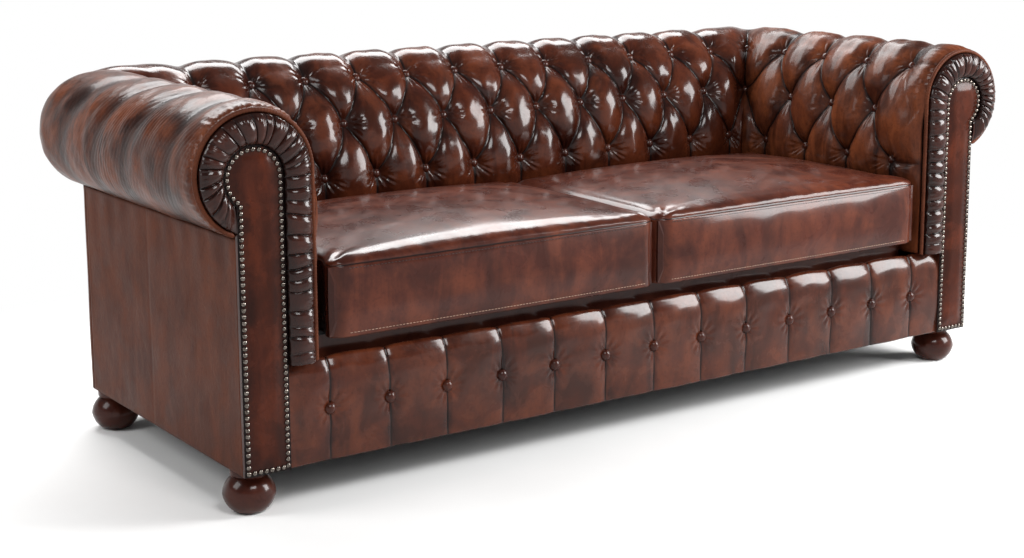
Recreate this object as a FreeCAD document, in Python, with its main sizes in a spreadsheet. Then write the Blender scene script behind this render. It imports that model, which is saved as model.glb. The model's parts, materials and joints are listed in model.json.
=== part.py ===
import FreeCAD, Part
import math
import os
import re

import Sketcher
from FreeCAD import Placement, Vector

doc = FreeCAD.newDocument("chesterfield_sofa")
sheet = doc.addObject("Spreadsheet::Sheet", "sizes")

# Driving dimensions in millimetres. X runs along the sofa, the front faces -Y, and the floor is at Z = 0.
driving = {
    # carcass
    "body_width": 1844,  # between the outside arm panels
    "base_depth": 750,  # from the arm fronts to the outside back
    "foot_height": 82,
    "corner_radius": 60,  # rear corners of the outside
    "side_seam": 392,  # seam of the outside arm behind the arm front
    "leather": 2,
    "outer_board": 4,
    "inner_board": 5,
    "timber": 30,  # thickness of rails
    "lower_rail_height": 120,
    "post_width": 84,
    "post_depth": 45,
    "rear_post_inset": 22,
    "top_rail_height": 40,
    "top_rail_drop": 55,  # underside of the top rails, below the scroll's centre
    "stile_width": 60,
    "brace_width": 50,
    "block_size": 70,
    "block_height": 60,
    "soft_gap": 0.3,  # running gap between soft pieces
    # scroll of the arms and the back
    "roll_radius": 115,
    "roll_inset": 37,  # scroll centre, inwards from the outer face
    "roll_height": 615,
    "core_radius": 94,  # foam under the roll cover
    "pleat_rise": 8,  # how far the pleats stand over the roll
    # arm fronts
    "nose": 12,  # how far the border stands proud of the facing
    "face_depth": 10,
    "facing_width": 90,
    "facing_pad": 8,
    "head_radius": 57,
    "head_drop": 6,
    "scroll_board": 18,
    "piping_size": 9,
    "border_wave": 2,
    "border_step": 15,
    "nail_head": 10,
    "nail_rise": 3,
    "nail_pitch": 15,
    "nail_inset": 7,
    "nail_shank": 1.8,
    "nail_length": 8,
    # tufting
    "top_rise": 75,  # button rows, above or below the scroll's centre
    "middle_drop": 17,
    "low_drop": 127,
    "top_depth": 102,  # button seats, inwards from the outer face
    "corner_draw": 8,  # how much further in the top seat stands on the mitre
    "arm_middle_depth": 144,
    "arm_low_depth": 158,
    "back_middle_depth": 155,
    "back_low_depth": 180,
    "puff": 32,
    "tuck_level": 312,
    "tuck_top": 436,
    "arm_tuck": 160,
    "back_tuck": 184,
    "arm_slab": 130,
    "back_slab": 148,
    "first_arm_column": 95,
    "arm_row_drop": 10,  # the arm's middle and low rows lie lower than the back's
    "button_size": 22,
    "button_height": 9,
    "pocket_clearance": 1,
    # front rail
    "rail_top": 271,
    "rail_face": 14,  # front of the pad behind the arm fronts
    "rail_cover": 46,
    "rail_pad": 20,
    "rail_timber_top": 250,
    "rail_end": 85,  # from the last pleat to the arm front
    "rail_button_level": 177,
    "rail_puff": 7,
    # seat
    "deck_top": 303,
    "deck_cloth": 1,
    "deck_setback": 50,
    "spring_wire": 4,
    "spring_end": 172,  # half a pitch beyond the last spring, inwards from the outer face
    "spring_run": 34,
    "spring_bend": 12,
    "clip_width": 22,
    "clip_height": 6,
    "clip_depth": 12,
    "cushion_edge": 436,  # top seam
    "cushion_crown": 40,
    "cushion_side_gap": 14,  # between a cushion and the tuck of the arm
    "cushion_back_gap": 40,  # between a cushion and the tuck of the back
    "cushion_draw": 26,  # how far the outer side pulls in
    "cushion_bulge": 6,
    "parting": 5,
    "cover_wall": 3,
    "zip_length": 500,
    "zip_width": 26,
    "zip_tape": 1,
    "zip_level": 370,
    "slider_length": 14,
    "slider_width": 9,
    "slider_height": 3,
    # feet
    "foot_inset": 36,  # foot's axis, inwards from the outer face
    "foot_setback": 62,  # front feet behind the arm fronts
    "rear_foot_setback": 78,
    "foot_radius": 48,
    "foot_sole": 30,
    "foot_neck": 31,
    "foot_bun": 66,
    "foot_collar": 34,
    "bolt_size": 8,
    "bolt_length": 70,
    "bolt_in_foot": 40,
    "glide_size": 26,
    "glide_thickness": 3,
    "dust_cover": 1,
}
for row, (name, number) in enumerate(driving.items(), 1):
    sheet.set(f"A{row}", name)
    sheet.set(f"B{row}", str(number))
    sheet.setAlias(f"B{row}", name)
doc.recompute()


def bound(text):
    """The expression with every driving dimension named as a cell of the sheet."""
    return re.sub(r"[a-z]\w*", lambda word: "sizes." + word[0] if word[0] in driving else word[0], text)


def mm(text):
    """The length that an expression on the driving dimensions gives now."""
    return float(sheet.evalExpression(bound(text)))


# Reference planes, as expressions: the arm fronts, the outside back and the outer face of the right arm
front = "((nose - base_depth - roll_radius + roll_inset) / 2)"
rear = "((nose + base_depth - roll_radius + roll_inset) / 2)"
side = "(body_width / 2)"
backing = "(leather + soft_gap + outer_board + soft_gap)"  # outer face to timber
behind_face = f"({front} + face_depth)"
behind_board = f"({behind_face} + scroll_board)"
rail_line = f"({front} + rail_face + rail_pad)"
rear_line = f"({rear} - {backing} - timber)"
arm_inner = f"({side} - {backing} - post_width)"
rail_level = "(roll_height - top_rail_drop)"
top_row = "(roll_height + top_rise)"
middle_row = "(roll_height - middle_drop)"
low_row = "(roll_height - low_drop)"
cushion_end = f"({side} - arm_tuck - cushion_side_gap)"
cushion_rear = f"({rear} - back_tuck - cushion_back_gap)"
pleats_each_side = 6  # of the front rail, beside the middle one
rail_pitch = f"(({side} - facing_width - rail_end) / {pleats_each_side})"
springs_each_side = 5
spring_pitch = f"(({side} - spring_end) / {springs_each_side})"
nodes = []


def keep(node):
    nodes.append(node)
    return node


def bound_box(name, x, y, z):
    """A box between two expressions on each axis."""
    box = doc.addObject("Part::Box", name)
    for length, axis, (low, high) in zip(("Length", "Width", "Height"), "xyz", (x, y, z)):
        box.setExpression(length, bound(f"({high}) - ({low})"))
        box.setExpression(f"Placement.Base.{axis}", bound(low))
    return box


def bound_rod(name, radius, length, place, low):
    """An upright rod on a place given as two expressions."""
    rod = doc.addObject("Part::Cylinder", name)
    rod.setExpression("Radius", bound(radius))
    rod.setExpression("Height", bound(length))
    for axis, text in zip("xyz", (*place, low)):
        rod.setExpression(f"Placement.Base.{axis}", bound(text))
    return rod


def mirrored(x):
    return f"-({x[1]})", f"-({x[0]})"


def group(name, members):
    """Separate alike pieces under one name."""
    holder = doc.addObject("Part::Compound", name)
    holder.Links = members
    return keep(holder)


def both_sides(name, x, y, z):
    """The right and the left piece, as a group of two."""
    pieces = [bound_box(f"{name}_r", x, y, z), bound_box(f"{name}_l", mirrored(x), y, z)]
    return group(name, pieces)


def formed(name, shape):
    """A freely formed piece."""
    piece = doc.addObject("Part::Feature", name)
    piece.Shape = shape
    piece.Placement = Placement()
    return keep(piece)


def flipped(shape):
    """The left twin of a right hand shape."""
    return shape.mirror(Vector(0, 0, 0), Vector(1, 0, 0))


def outline_sketch(body, role, corners, curves=None):
    """A closed sketch through corners given as pairs of expressions.

    A curve joins a corner to the next one by an arc: its radius, and 1 for anticlockwise or -1 for clockwise.
    """
    curves = curves or {}
    sketch = body.newObject("Sketcher::SketchObject", body.Name + "_outline")
    plane = next(f for f in body.Origin.OriginFeatures if f.Role == role)
    sketch.AttachmentSupport = [(plane, "")]
    sketch.MapMode = "FlatFace"
    points = [Vector(mm(x), mm(y), 0) for x, y in corners]
    ends = []
    for index, start in enumerate(points):
        end = points[(index + 1) % len(points)]
        if index in curves:
            radius, turn = mm(curves[index][0]), curves[index][1]
            chord = end - start
            reach = math.sqrt(max(radius**2 - (chord.Length / 2) ** 2, 0))
            across = Vector(-chord.y, chord.x, 0).normalize()
            centre = (start + end) / 2 + across * reach * turn
            first, last = (start, end) if turn > 0 else (end, start)
            angles = [math.atan2(p.y - centre.y, p.x - centre.x) for p in (first, last)]
            circle = Part.Circle(centre, Vector(0, 0, 1), radius)
            sketch.addGeometry(Part.ArcOfCircle(circle, *angles), False)
            ends.append((1, 2) if turn > 0 else (2, 1))
        else:
            sketch.addGeometry(Part.LineSegment(start, end), False)
            ends.append((1, 2))
    for index in range(len(points)):
        following = (index + 1) % len(points)
        sketch.addConstraint(
            Sketcher.Constraint("Coincident", index, ends[index][1], following, ends[following][0])
        )
    for index, corner in enumerate(corners):
        for kind, text in zip(("DistanceX", "DistanceY"), corner):
            number = sketch.addConstraint(
                Sketcher.Constraint(kind, -1, 1, index, ends[index][0], mm(text))
            )
            sketch.setExpression(f"Constraints[{number}]", bound(text))
    for index, (radius, turn) in curves.items():
        number = sketch.addConstraint(Sketcher.Constraint("Radius", index, mm(radius)))
        sketch.setExpression(f"Constraints[{number}]", bound(radius))
    return sketch


def padded_outline(name, role, corners, curves, length, place):
    """A body padded from an outline, with its origin at an expression on each axis."""
    body = keep(doc.addObject("PartDesign::Body", name))
    sketch = outline_sketch(body, role, corners, curves)
    pad = body.newObject("PartDesign::Pad", name + "_pad")
    pad.Profile = sketch
    pad.setExpression("Length", bound(length))
    if role == "XZ_Plane":
        pad.Reversed = True
    for axis, text in zip("xyz", place):
        body.setExpression(f"Placement.Base.{axis}", bound(text))
    return body


# Timber frame


def seat_rails():
    """Front and rear seat rails, side rails, cross braces and corner blocks."""
    level = ("foot_height", "rail_timber_top")
    span = (f"-{arm_inner}", arm_inner)
    keep(bound_box("front_seat_rail", span, (rail_line, f"{rail_line} + timber"), level))
    long_span = (f"-({side} - corner_radius)", f"{side} - corner_radius")
    keep(bound_box("rear_seat_rail", long_span, (rear_line, f"{rear_line} + timber"), level))
    outer = f"{side} - {backing}"
    both_sides(
        "side_rails",
        (f"{outer} - timber", outer),
        (f"{behind_board} + post_depth", f"{rear_line} - post_width"),
        ("foot_height", "foot_height + lower_rail_height"),
    )
    braces = []
    for index, place in enumerate(("-body_width / 6", "body_width / 6")):
        braces.append(
            bound_box(
                f"brace_{index}",
                (f"{place} - brace_width / 2", f"{place} + brace_width / 2"),
                (f"{rail_line} + timber", rear_line),
                ("foot_height", "foot_height + timber"),
            )
        )
    group("cross_braces", braces)
    blocks = []
    right = (f"{arm_inner} - block_size", arm_inner)
    ahead = (f"{rail_line} + timber", f"{rail_line} + timber + block_size")
    behind = (f"{rear_line} - block_size", rear_line)
    for index, (x, y) in enumerate((x, y) for x in (right, mirrored(right)) for y in (ahead, behind)):
        blocks.append(bound_box(f"block_{index}", x, y, ("foot_height", "foot_height + block_height")))
    group("corner_blocks", blocks)


def drilled_posts(name, x, y, place):
    """A pair of posts with the bores of the foot bolts."""
    upright = ("foot_height", rail_level)
    posts = doc.addObject("Part::Compound", name + "_blanks")
    posts.Links = [
        bound_box(f"{name}_r", x, y, upright),
        bound_box(f"{name}_l", mirrored(x), y, upright),
    ]
    bores = doc.addObject("Part::Compound", name + "_bores")
    bores.Links = [
        bound_rod(f"{name}_bore_{index}", "bolt_size / 2", "bolt_length", spot, "foot_height - bolt_in_foot")
        for index, spot in enumerate((place, (f"(-{place[0]})", place[1])))
    ]
    cut = doc.addObject("Part::Cut", name)
    cut.Base = posts
    cut.Tool = bores
    keep(cut)


def posts_and_rails():
    """Posts, back stiles and the rails that carry the rolls."""
    places = foot_places()
    drilled_posts(
        "front_posts",
        (arm_inner, f"{side} - {backing}"),
        (behind_board, f"{behind_board} + post_depth"),
        places[0],
    )
    drilled_posts(
        "rear_posts", (arm_inner, f"{side} - rear_post_inset"), (f"{rear_line} - post_width", rear_line), places[2]
    )
    level = (rail_level, f"{rail_level} + top_rail_height")
    both_sides(
        "arm_top_rails",
        (arm_inner, f"{side} - {backing}"),
        (behind_board, f"{rear} - corner_radius"),
        level,
    )
    back_face = f"{rear} - {backing}"
    depth = (f"{back_face} - post_width", back_face)
    keep(bound_box("back_top_rail", (f"-{arm_inner}", arm_inner), depth, level))
    stiles = []
    for index, place in enumerate((f"-2 * {spring_pitch}", f"2 * {spring_pitch}")):
        stiles.append(
            bound_box(
                f"stile_{index}",
                (f"{place} - stile_width / 2", f"{place} + stile_width / 2"),
                depth,
                ("rail_timber_top", rail_level),
            )
        )
    group("back_stiles", stiles)


def scroll_sketch_corners():
    """The arm section's outline round its foam, seen from the front, right hand side."""
    reach = f"sqrt(core_radius ^ 2 - (roll_inset - {backing}) ^ 2)"
    x = f"{side} - {backing}"
    return [
        (f"{side} - facing_width", "foot_height"),
        (f"{side} - facing_width", "rail_top + soft_gap"),
        (f"{side} - arm_slab", "rail_top + soft_gap"),
        (f"{side} - arm_slab", "roll_height - 15"),
        (f"{side} - roll_inset - core_radius * cos(30)", "roll_height + core_radius * sin(30)"),
        (f"{side} - roll_inset", "roll_height + core_radius"),
        (f"{side} - roll_inset + core_radius", "roll_height"),
        (x, f"roll_height - {reach}"),
        (x, "foot_height"),
    ]


def left_of(corners, curves):
    """The same outline on the left side."""
    swapped = [(f"-({x})", y) for x, y in corners]
    return swapped, {index: (radius, -turn) for index, (radius, turn) in curves.items()}


def arm_fronts():
    """Scroll board, facing board and facing leather of each arm."""
    scroll = scroll_sketch_corners()
    scroll_curves = {4: ("core_radius", -1), 5: ("core_radius", -1), 6: ("core_radius", -1)}
    head_x = f"{side} - facing_width + head_radius"
    head_z = "roll_height - head_drop"
    notch = "sqrt(head_radius ^ 2 - (facing_width - head_radius) ^ 2)"
    facing = [
        (f"{side} - facing_width", "foot_height"),
        (f"{side} - facing_width", head_z),
        (head_x, f"{head_z} + head_radius"),
        (f"{head_x} + head_radius", head_z),
        (side, f"{head_z} - {notch}"),
        (side, "foot_height"),
    ]
    facing_curves = {1: ("head_radius", -1), 2: ("head_radius", -1), 3: ("head_radius", -1)}
    tools = {}
    for hand in ("right", "left"):
        turn = (lambda c, k: (c, k)) if hand == "right" else left_of
        corners, curves = turn(scroll, scroll_curves)
        padded_outline(
            f"scroll_board_{hand}", "XZ_Plane", corners, curves, "scroll_board", ("0", behind_face, "0")
        )
        corners, curves = turn(facing, facing_curves)
        board = padded_outline(
            f"facing_board_{hand}_blank", "XZ_Plane", corners, curves, "facing_pad",
            ("0", f"{behind_face} - facing_pad", "0"),
        )
        skin = padded_outline(
            f"facing_leather_{hand}_blank", "XZ_Plane", corners, curves, "face_depth - facing_pad",
            ("0", front, "0"),
        )
        tools[hand] = (board, skin)
    return tools


def arm_panels():
    """Inner and outer boards, and the outside leather, of the arms and the back."""
    top = "roll_height - sqrt(roll_radius ^ 2 - roll_inset ^ 2) - soft_gap"
    board_top = f"{top} - 6"
    both_sides(
        "arm_outer_boards",
        (f"{side} - leather - soft_gap - outer_board", f"{side} - leather - soft_gap"),
        (behind_board, f"{rear} - corner_radius"),
        ("foot_height + 3", board_top),
    )
    both_sides(
        "arm_inner_panels",
        (f"{arm_inner} - inner_board", arm_inner),
        (f"{front} + rail_cover + 2", f"{rear} - back_slab"),
        ("rail_timber_top + 12", f"{rail_level} + top_rail_height"),
    )
    seam = f"{front} + side_seam"
    for hand in ("right", "left"):
        leaves = []
        for index, (low, high) in enumerate(
            ((f"{behind_face} + soft_gap", seam), (f"{seam} + 1", f"{rear} - corner_radius - 1"))
        ):
            x = (f"{side} - leather", side)
            x = x if hand == "right" else mirrored(x)
            leaves.append(bound_box(f"leaf_{hand}_{index}", x, (low, high), ("foot_height", top)))
        group(f"outside_arm_panel_{hand}", leaves)
    keep(
        bound_box(
            "back_outer_board",
            (f"-({side} - corner_radius)", f"{side} - corner_radius"),
            (f"{rear} - leather - soft_gap - outer_board", f"{rear} - leather - soft_gap"),
            ("foot_height + 3", board_top),
        )
    )
    back_face = f"{rear} - {backing} - post_width"
    keep(
        bound_box(
            "back_inner_panel",
            (f"-({side} - back_slab - 6)", f"{side} - back_slab - 6"),
            (f"{back_face} - inner_board", back_face),
            ("rail_timber_top + 12", f"{rail_level} + top_rail_height"),
        )
    )
    inset = "corner_radius - leather"
    corners = [
        (side, f"{rear} - corner_radius"),
        (f"{side} - corner_radius", rear),
        (f"-({side} - corner_radius)", rear),
        (f"-({side})", f"{rear} - corner_radius"),
        (f"-({side} - leather)", f"{rear} - corner_radius"),
        (f"-({side} - corner_radius)", f"{rear} - leather"),
        (f"{side} - corner_radius", f"{rear} - leather"),
        (f"{side} - leather", f"{rear} - corner_radius"),
    ]
    curves = {0: ("corner_radius", 1), 2: ("corner_radius", 1), 4: (inset, -1), 6: (inset, -1)}
    padded_outline(
        "outside_back_panel", "XY_Plane", corners, curves, f"{top} - foot_height", ("0", "0", "foot_height")
    )


# Soft forms: closed sections of lines and arcs, ruled from one to the next


def edge_between(start, end, rise, place):
    """A line, or an arc whose middle stands a rise to the left of the way from start to end."""
    if not rise:
        return Part.LineSegment(place(*start), place(*end)).toShape()
    along = (end[0] - start[0], end[1] - start[1])
    length = math.hypot(*along)
    middle = (
        (start[0] + end[0]) / 2 - along[1] / length * rise,
        (start[1] + end[1]) / 2 + along[0] / length * rise,
    )
    return Part.Arc(place(*start), place(*middle), place(*end)).toShape()


def section(steps, place):
    """A closed wire: each step is a corner and the rise of the edge that leaves it."""
    edges = []
    for index, (across, up, rise) in enumerate(steps):
        following = steps[(index + 1) % len(steps)]
        edges.append(edge_between((across, up), following[:2], rise, place))
    return Part.Wire(edges)


def ruled(sections):
    solid = Part.makeLoft(sections, True, True)
    if solid.Volume < 0:
        solid.reverse()
    return solid


def sag(radius, start, end):
    """The rise of a circle's arc over its chord."""
    half = math.hypot(end[0] - start[0], end[1] - start[1]) / 2
    return radius - math.sqrt(radius**2 - half**2)


def inner_steps(slab, gap):
    """The foam's outline, from the lip under the roll over the top and down to the tuck."""
    inset, height, radius = mm("roll_inset"), mm("roll_height"), mm("core_radius") + gap
    lip = mm(backing) - gap
    lip_level = height - math.sqrt(radius**2 - (inset - lip) ** 2)
    outer = (inset - radius, height)
    top = (inset, height + radius)
    turn = math.radians(30)
    shoulder = (inset + radius * math.cos(turn), height + radius * math.sin(turn))
    face = slab + gap
    return [
        (lip, lip_level, sag(radius, (lip, lip_level), outer)),
        (*outer, sag(radius, outer, top)),
        (*top, sag(radius, top, shoulder)),
        (*shoulder, 0),
        (face, height - 15, 0),
        (face, mm("tuck_level"), 0),
    ]


def cover_steps(kind, drop, low, middle, top, tuck, slab):
    """A cover's section in depth from the outer face and height.

    The kinds are the columns of the top and low buttons, those of the middle row, halfway, plain and corner.
    """
    level, edge, puff = mm("tuck_level"), mm("tuck_top"), mm("puff")
    z_low, z_mid, z_top = mm(low_row) - drop, mm(middle_row) - drop, mm(top_row)
    inset, height, radius = mm("roll_inset"), mm("roll_height"), mm("roll_radius")
    crest = height + radius + mm("pleat_rise")
    face = {
        "column": [
            (tuck, level, 0), (tuck, edge, 1), (low, z_low, 10), (middle + puff, z_mid, 12),
            (top, z_top, 8), (inset, crest - 8),
        ],
        "middle": [
            (tuck + 8, level, 0), (tuck + 10, edge, puff), (middle + 5, z_mid - 15, 1), (middle, z_mid, 1),
            (middle + 3, z_mid + 15, 38), (inset, crest),
        ],
        "half": [
            (tuck + 5, level, 0), (tuck + 6, edge, 16), ((low + middle) / 2 + 9, (z_low + z_mid) / 2, 7),
            (middle + 0.7 * puff, z_mid, 7), ((middle + top) / 2 + 10, (z_mid + z_top) / 2, 24),
            (inset, crest - 3),
        ],
        "plain": [
            (tuck - 2, level, 0), (tuck, edge, 1), (tuck, (z_low + z_mid) / 2, 2),
            (tuck - 3, z_mid, 4), ((middle + top) / 2 + 14, (z_mid + z_top) / 2, 16), (inset, crest - 8),
        ],
        "corner": [
            (tuck, level, 0), (tuck, edge, 1), (low, z_low, 4), (middle, z_mid, 5), (top, z_top, 8),
            (inset, crest - 8),
        ],
    }[kind]
    peak = face[-1]
    outer = (inset - radius, height)
    under = (0, height - math.sqrt(radius**2 - inset**2))
    lip = mm(backing) - mm("soft_gap")
    # the way runs anticlockwise seen with depth to the right, so outward rises are to the right
    steps = [(across, up, -rise) for across, up, rise in face[:-1]]
    steps.append((*peak, -sag(radius, peak, outer)))
    steps.append((*outer, -sag(radius, outer, under)))
    steps.append((*under, 0))
    steps.append((lip, under[1], 0))
    steps += inner_steps(slab, mm("soft_gap"))
    return steps


def round_corner(share, straight):
    """Places a section on its way round the rear corner, from 0 on the arm to 1 on the mitre.

    The outside swings about the corner's axis, and the inside moves along to the mitre.
    """
    radius, x_side, y_rear = mm("corner_radius"), mm(side), mm(rear)
    turn = math.radians(45 * share)

    def place(across, up):
        if across < radius:
            reach = radius - across
            x = x_side - radius + reach * math.cos(turn)
            y = y_rear - radius + reach * math.sin(turn)
            return Vector(x, y, up)
        start = straight + (y_rear - across - straight) * 0.4
        return Vector(x_side - across, start + (y_rear - across - start) * share, up)

    return place


def along_arm(distance):
    """Places a section square across the right arm, behind the arm front."""
    return lambda across, up: Vector(mm(side) - across, mm(front) + distance, up)


def along_back(x):
    return lambda across, up: Vector(x, mm(rear) - across, up)


def swap_to_back(place):
    """Turns a place on the right arm into its twin on the back."""
    offset = mm(side) - mm(rear)

    def twin(across, up):
        point = place(across, up)
        return Vector(point.y + offset, point.x - offset, up)

    return twin


corner_shares = (0, 1 / 3, 2 / 3, 1)


def arm_columns():
    """Distances of the arm's button columns behind the arm front, and their pitch."""
    first = mm("first_arm_column")
    pitch = (mm("base_depth") - mm("top_depth") - first) / 4
    return [first + pitch * index for index in range(4)], pitch


def back_pitch():
    return 2 * (mm(side) - mm("top_depth")) / 13


def arm_depths():
    """The arm's row drop, and its button seats, tuck and slab as depths from the outer face."""
    seats = (mm("arm_low_depth"), mm("arm_middle_depth"), mm("top_depth"))
    return (mm("arm_row_drop"), *seats, mm("arm_tuck"), mm("arm_slab"))


def back_depths():
    """The same of the back, whose rows have no drop."""
    return 0, mm("back_low_depth"), mm("back_middle_depth"), mm("top_depth"), mm("back_tuck"), mm("back_slab")


def corner_depths():
    """The same of the mitre that arm and back share."""
    middle = [(one + other) / 2 for one, other in zip(arm_depths(), back_depths())]
    slab = min(mm("arm_slab"), mm("back_slab")) - 5
    return (*middle[:3], mm("top_depth") + mm("corner_draw"), middle[4], slab)


def blended(first, last, share):
    return [tuple(a + (b - a) * share for a, b in zip(one, two)) for one, two in zip(first, last)]


def corner_sections(steps, swap, straight):
    """The sections of a cover or pad round its rear corner."""
    start, last = steps
    wires = []
    for share in corner_shares:
        place = round_corner(share, straight)
        wires.append(section(blended(start, last, share), swap_to_back(place) if swap else place))
    return wires


def arm_cover():
    """Inside arm cover with its wadding, right hand: over the pad, the roll and down to its outside."""
    depths = arm_depths()
    start = mm("face_depth") + mm("soft_gap")
    columns, pitch = arm_columns()
    plan = [(start, "plain"), (start + 30, "plain")]
    for column in columns[:-1]:
        plan += [(column, "column"), (column + pitch / 4, "half")]
        plan += [(column + pitch / 2, "middle"), (column + pitch * 3 / 4, "half")]
    plan.append((columns[-1], "column"))
    wires = [section(cover_steps(kind, *depths), along_arm(distance)) for distance, kind in plan]
    corner = cover_steps("corner", *corner_depths())
    ends = (cover_steps("corner", *depths), corner)
    wires += corner_sections(ends, False, mm(front) + columns[-1])
    return ruled(wires)


def back_cover():
    """Inside back cover with its wadding, from mitre to mitre."""
    depths = back_depths()
    pitch = back_pitch()
    corner = cover_steps("corner", *corner_depths())
    ends = (cover_steps("corner", *depths), corner)
    right = corner_sections(ends, True, mm(rear) - mm(side) + pitch * 5.5)
    right.reverse()
    wires = list(right)
    for quarter in range(22, -23, -1):
        kind = ("middle", "half", "column", "half")[quarter % 4]
        wires.append(section(cover_steps(kind, *depths), along_back(quarter * pitch / 4)))
    left = [flipped(wire) for wire in reversed(right)]
    return ruled(wires + left)


def pad_steps(slab):
    """Foam of the arm or back: the roll, the face and the step over the top rail."""
    inset, height, radius = mm("roll_inset"), mm("roll_height"), mm("core_radius")
    outline = inner_steps(slab, 0)
    rail_inner = mm(backing) + mm("post_width") + mm("soft_gap")
    rail_top = mm(rail_level) + mm("top_rail_height") + mm("soft_gap")
    board_inner = rail_inner + mm("inner_board")
    lip = mm(backing) - mm("soft_gap")
    tuck = mm("tuck_level")
    steps = outline[:-1] + [(slab, tuck, 0), (board_inner, tuck, 0)]
    steps += [(board_inner, rail_top, 0), (lip, rail_top, 0)]
    return steps


def arm_pad():
    start = mm("face_depth") + mm("scroll_board") + mm("soft_gap")
    wires = [section(pad_steps(mm("arm_slab")), along_arm(start))]
    columns, pitch = arm_columns()
    wires.append(section(pad_steps(mm("arm_slab")), along_arm(columns[-1])))
    ends = (pad_steps(mm("arm_slab")), pad_steps(corner_depths()[-1]))
    return ruled(wires + corner_sections(ends, False, mm(front) + columns[-1]))


def back_pad():
    pitch = back_pitch()
    ends = (pad_steps(mm("back_slab")), pad_steps(corner_depths()[-1]))
    right = corner_sections(ends, True, mm(rear) - mm(side) + pitch * 5.5)
    right.reverse()
    middle = [section(pad_steps(mm("back_slab")), along_back(x)) for x in (pitch * 5.5, -pitch * 5.5)]
    return ruled(right + middle + [flipped(wire) for wire in reversed(right)])


# Buttons and nails


def dome(size, height, rim, shank=None):
    """A ball's cap on a short rim, with its base at the origin and its top along +Z."""
    radius, rise = size / 2, height - rim
    ball = (radius**2 + rise**2) / (2 * rise)
    cap = Part.makeSphere(ball, Vector(0, 0, height - ball))
    solid = cap.common(Part.makeCylinder(radius, height + 1)).Solids[0]
    if shank:
        solid = solid.fuse(Part.makeCylinder(shank[0] / 2, shank[1], Vector(0, 0, 0), Vector(0, 0, -1)))
    return solid


def aimed(shape, point, direction):
    """A copy moved to a point, with its +Z along a direction."""
    copy = shape.copy()
    copy.Placement = Placement(point, FreeCAD.Rotation(Vector(0, 0, 1), direction))
    return copy


def button_seats(depths, rows, place, turned):
    """Seat point and outward direction of each button: rows gives the places along each row."""
    drop, low, middle, top = depths[:4]
    tilt = {"top": 48, "middle": 14, "low": 3}
    depth = {"top": top, "middle": middle, "low": low}
    level = {"top": mm(top_row), "middle": mm(middle_row) - drop, "low": mm(low_row) - drop}
    seats = []
    for row, stations in rows.items():
        angle = math.radians(tilt[row])
        facing = turned * math.cos(angle) + Vector(0, 0, 1) * math.sin(angle)
        for station in stations:
            seats.append((place(station)(depth[row], level[row]), facing))
    return seats


def arm_seats():
    columns, pitch = arm_columns()
    rows = {"top": columns, "middle": [c + pitch / 2 for c in columns[:-1]], "low": columns}
    return button_seats(arm_depths(), rows, along_arm, Vector(-1, 0, 0))


def back_seats():
    pitch = back_pitch()
    even = [pitch * (index - 5.5) for index in range(12)]
    odd = [pitch * index for index in range(-5, 6)]
    rows = {"top": even, "middle": odd, "low": even}
    return button_seats(back_depths(), rows, along_back, Vector(0, -1, 0))


def corner_seats():
    """The two buttons on the right mitre."""
    rows = {"top": [0], "middle": [0]}
    inwards = Vector(-1, -1, 0).normalize()
    return button_seats(corner_depths(), rows, lambda station: round_corner(1, 0), inwards)


seat_sink = 3  # the pocket's floor lies this deep behind the pleat line


def pockets(seats):
    radius = mm("button_size") / 2 + mm("pocket_clearance")
    return [
        Part.makeCylinder(radius, 70, point - facing * seat_sink, facing) for point, facing in seats
    ]


def buttons(seats):
    shape = dome(mm("button_size"), mm("button_height"), 2)
    return Part.makeCompound([aimed(shape, point - facing * seat_sink, facing) for point, facing in seats])


def tufted_covers():
    """Covers, their buttons and the foam pads behind them."""
    arm, back, corner = arm_seats(), back_seats(), corner_seats()
    right = arm_cover().cut(pockets(arm + corner))
    formed("inside_arm_cover_right", right)
    formed("inside_arm_cover_left", flipped(right))
    left_corner = [(Vector(-p.x, p.y, p.z), Vector(-n.x, n.y, n.z)) for p, n in corner]
    formed("inside_back_cover", back_cover().cut(pockets(back + corner + left_corner)))
    formed("arm_buttons_right", buttons(arm))
    formed("arm_buttons_left", flipped(buttons(arm)))
    formed("back_buttons", buttons(back + corner + left_corner))
    pad = arm_pad()
    formed("arm_pad_right", pad)
    formed("arm_pad_left", flipped(pad))
    formed("back_pad", back_pad())


def border_stations():
    """Stations of the arm front's border: a point on the facing's edge, one on the outer edge."""
    x_side, radius = mm(side), mm("roll_radius") - mm("piping_size") - 0.5
    centre = Vector(x_side - mm("roll_inset"), 0, mm("roll_height"))
    head = Vector(x_side - mm("facing_width") + mm("head_radius"), 0, mm("roll_height") - mm("head_drop"))
    gap = mm("soft_gap") + 0.2
    step = mm("border_step")
    start = mm("rail_top") + gap
    count = max(2, round((head.z - start) / step))
    stations = []
    for index in range(count):
        z = start + (head.z - start) * index / count
        stations.append((Vector(head.x - mm("head_radius") - gap, 0, z), Vector(centre.x - radius, 0, z)))
    end = math.degrees(math.acos(mm("roll_inset") / (radius + 1)))
    turns = 30
    for index in range(turns + 1):
        angle = math.radians(180 - (180 + end) * index / turns)
        inner_angle = math.radians(180 - (180 + 50) * index / turns)
        inner = head + Vector(math.cos(inner_angle), 0, math.sin(inner_angle)) * (mm("head_radius") + gap)
        outer = centre + Vector(math.cos(angle), 0, math.sin(angle)) * radius
        stations.append((inner, outer))
    return stations


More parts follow.
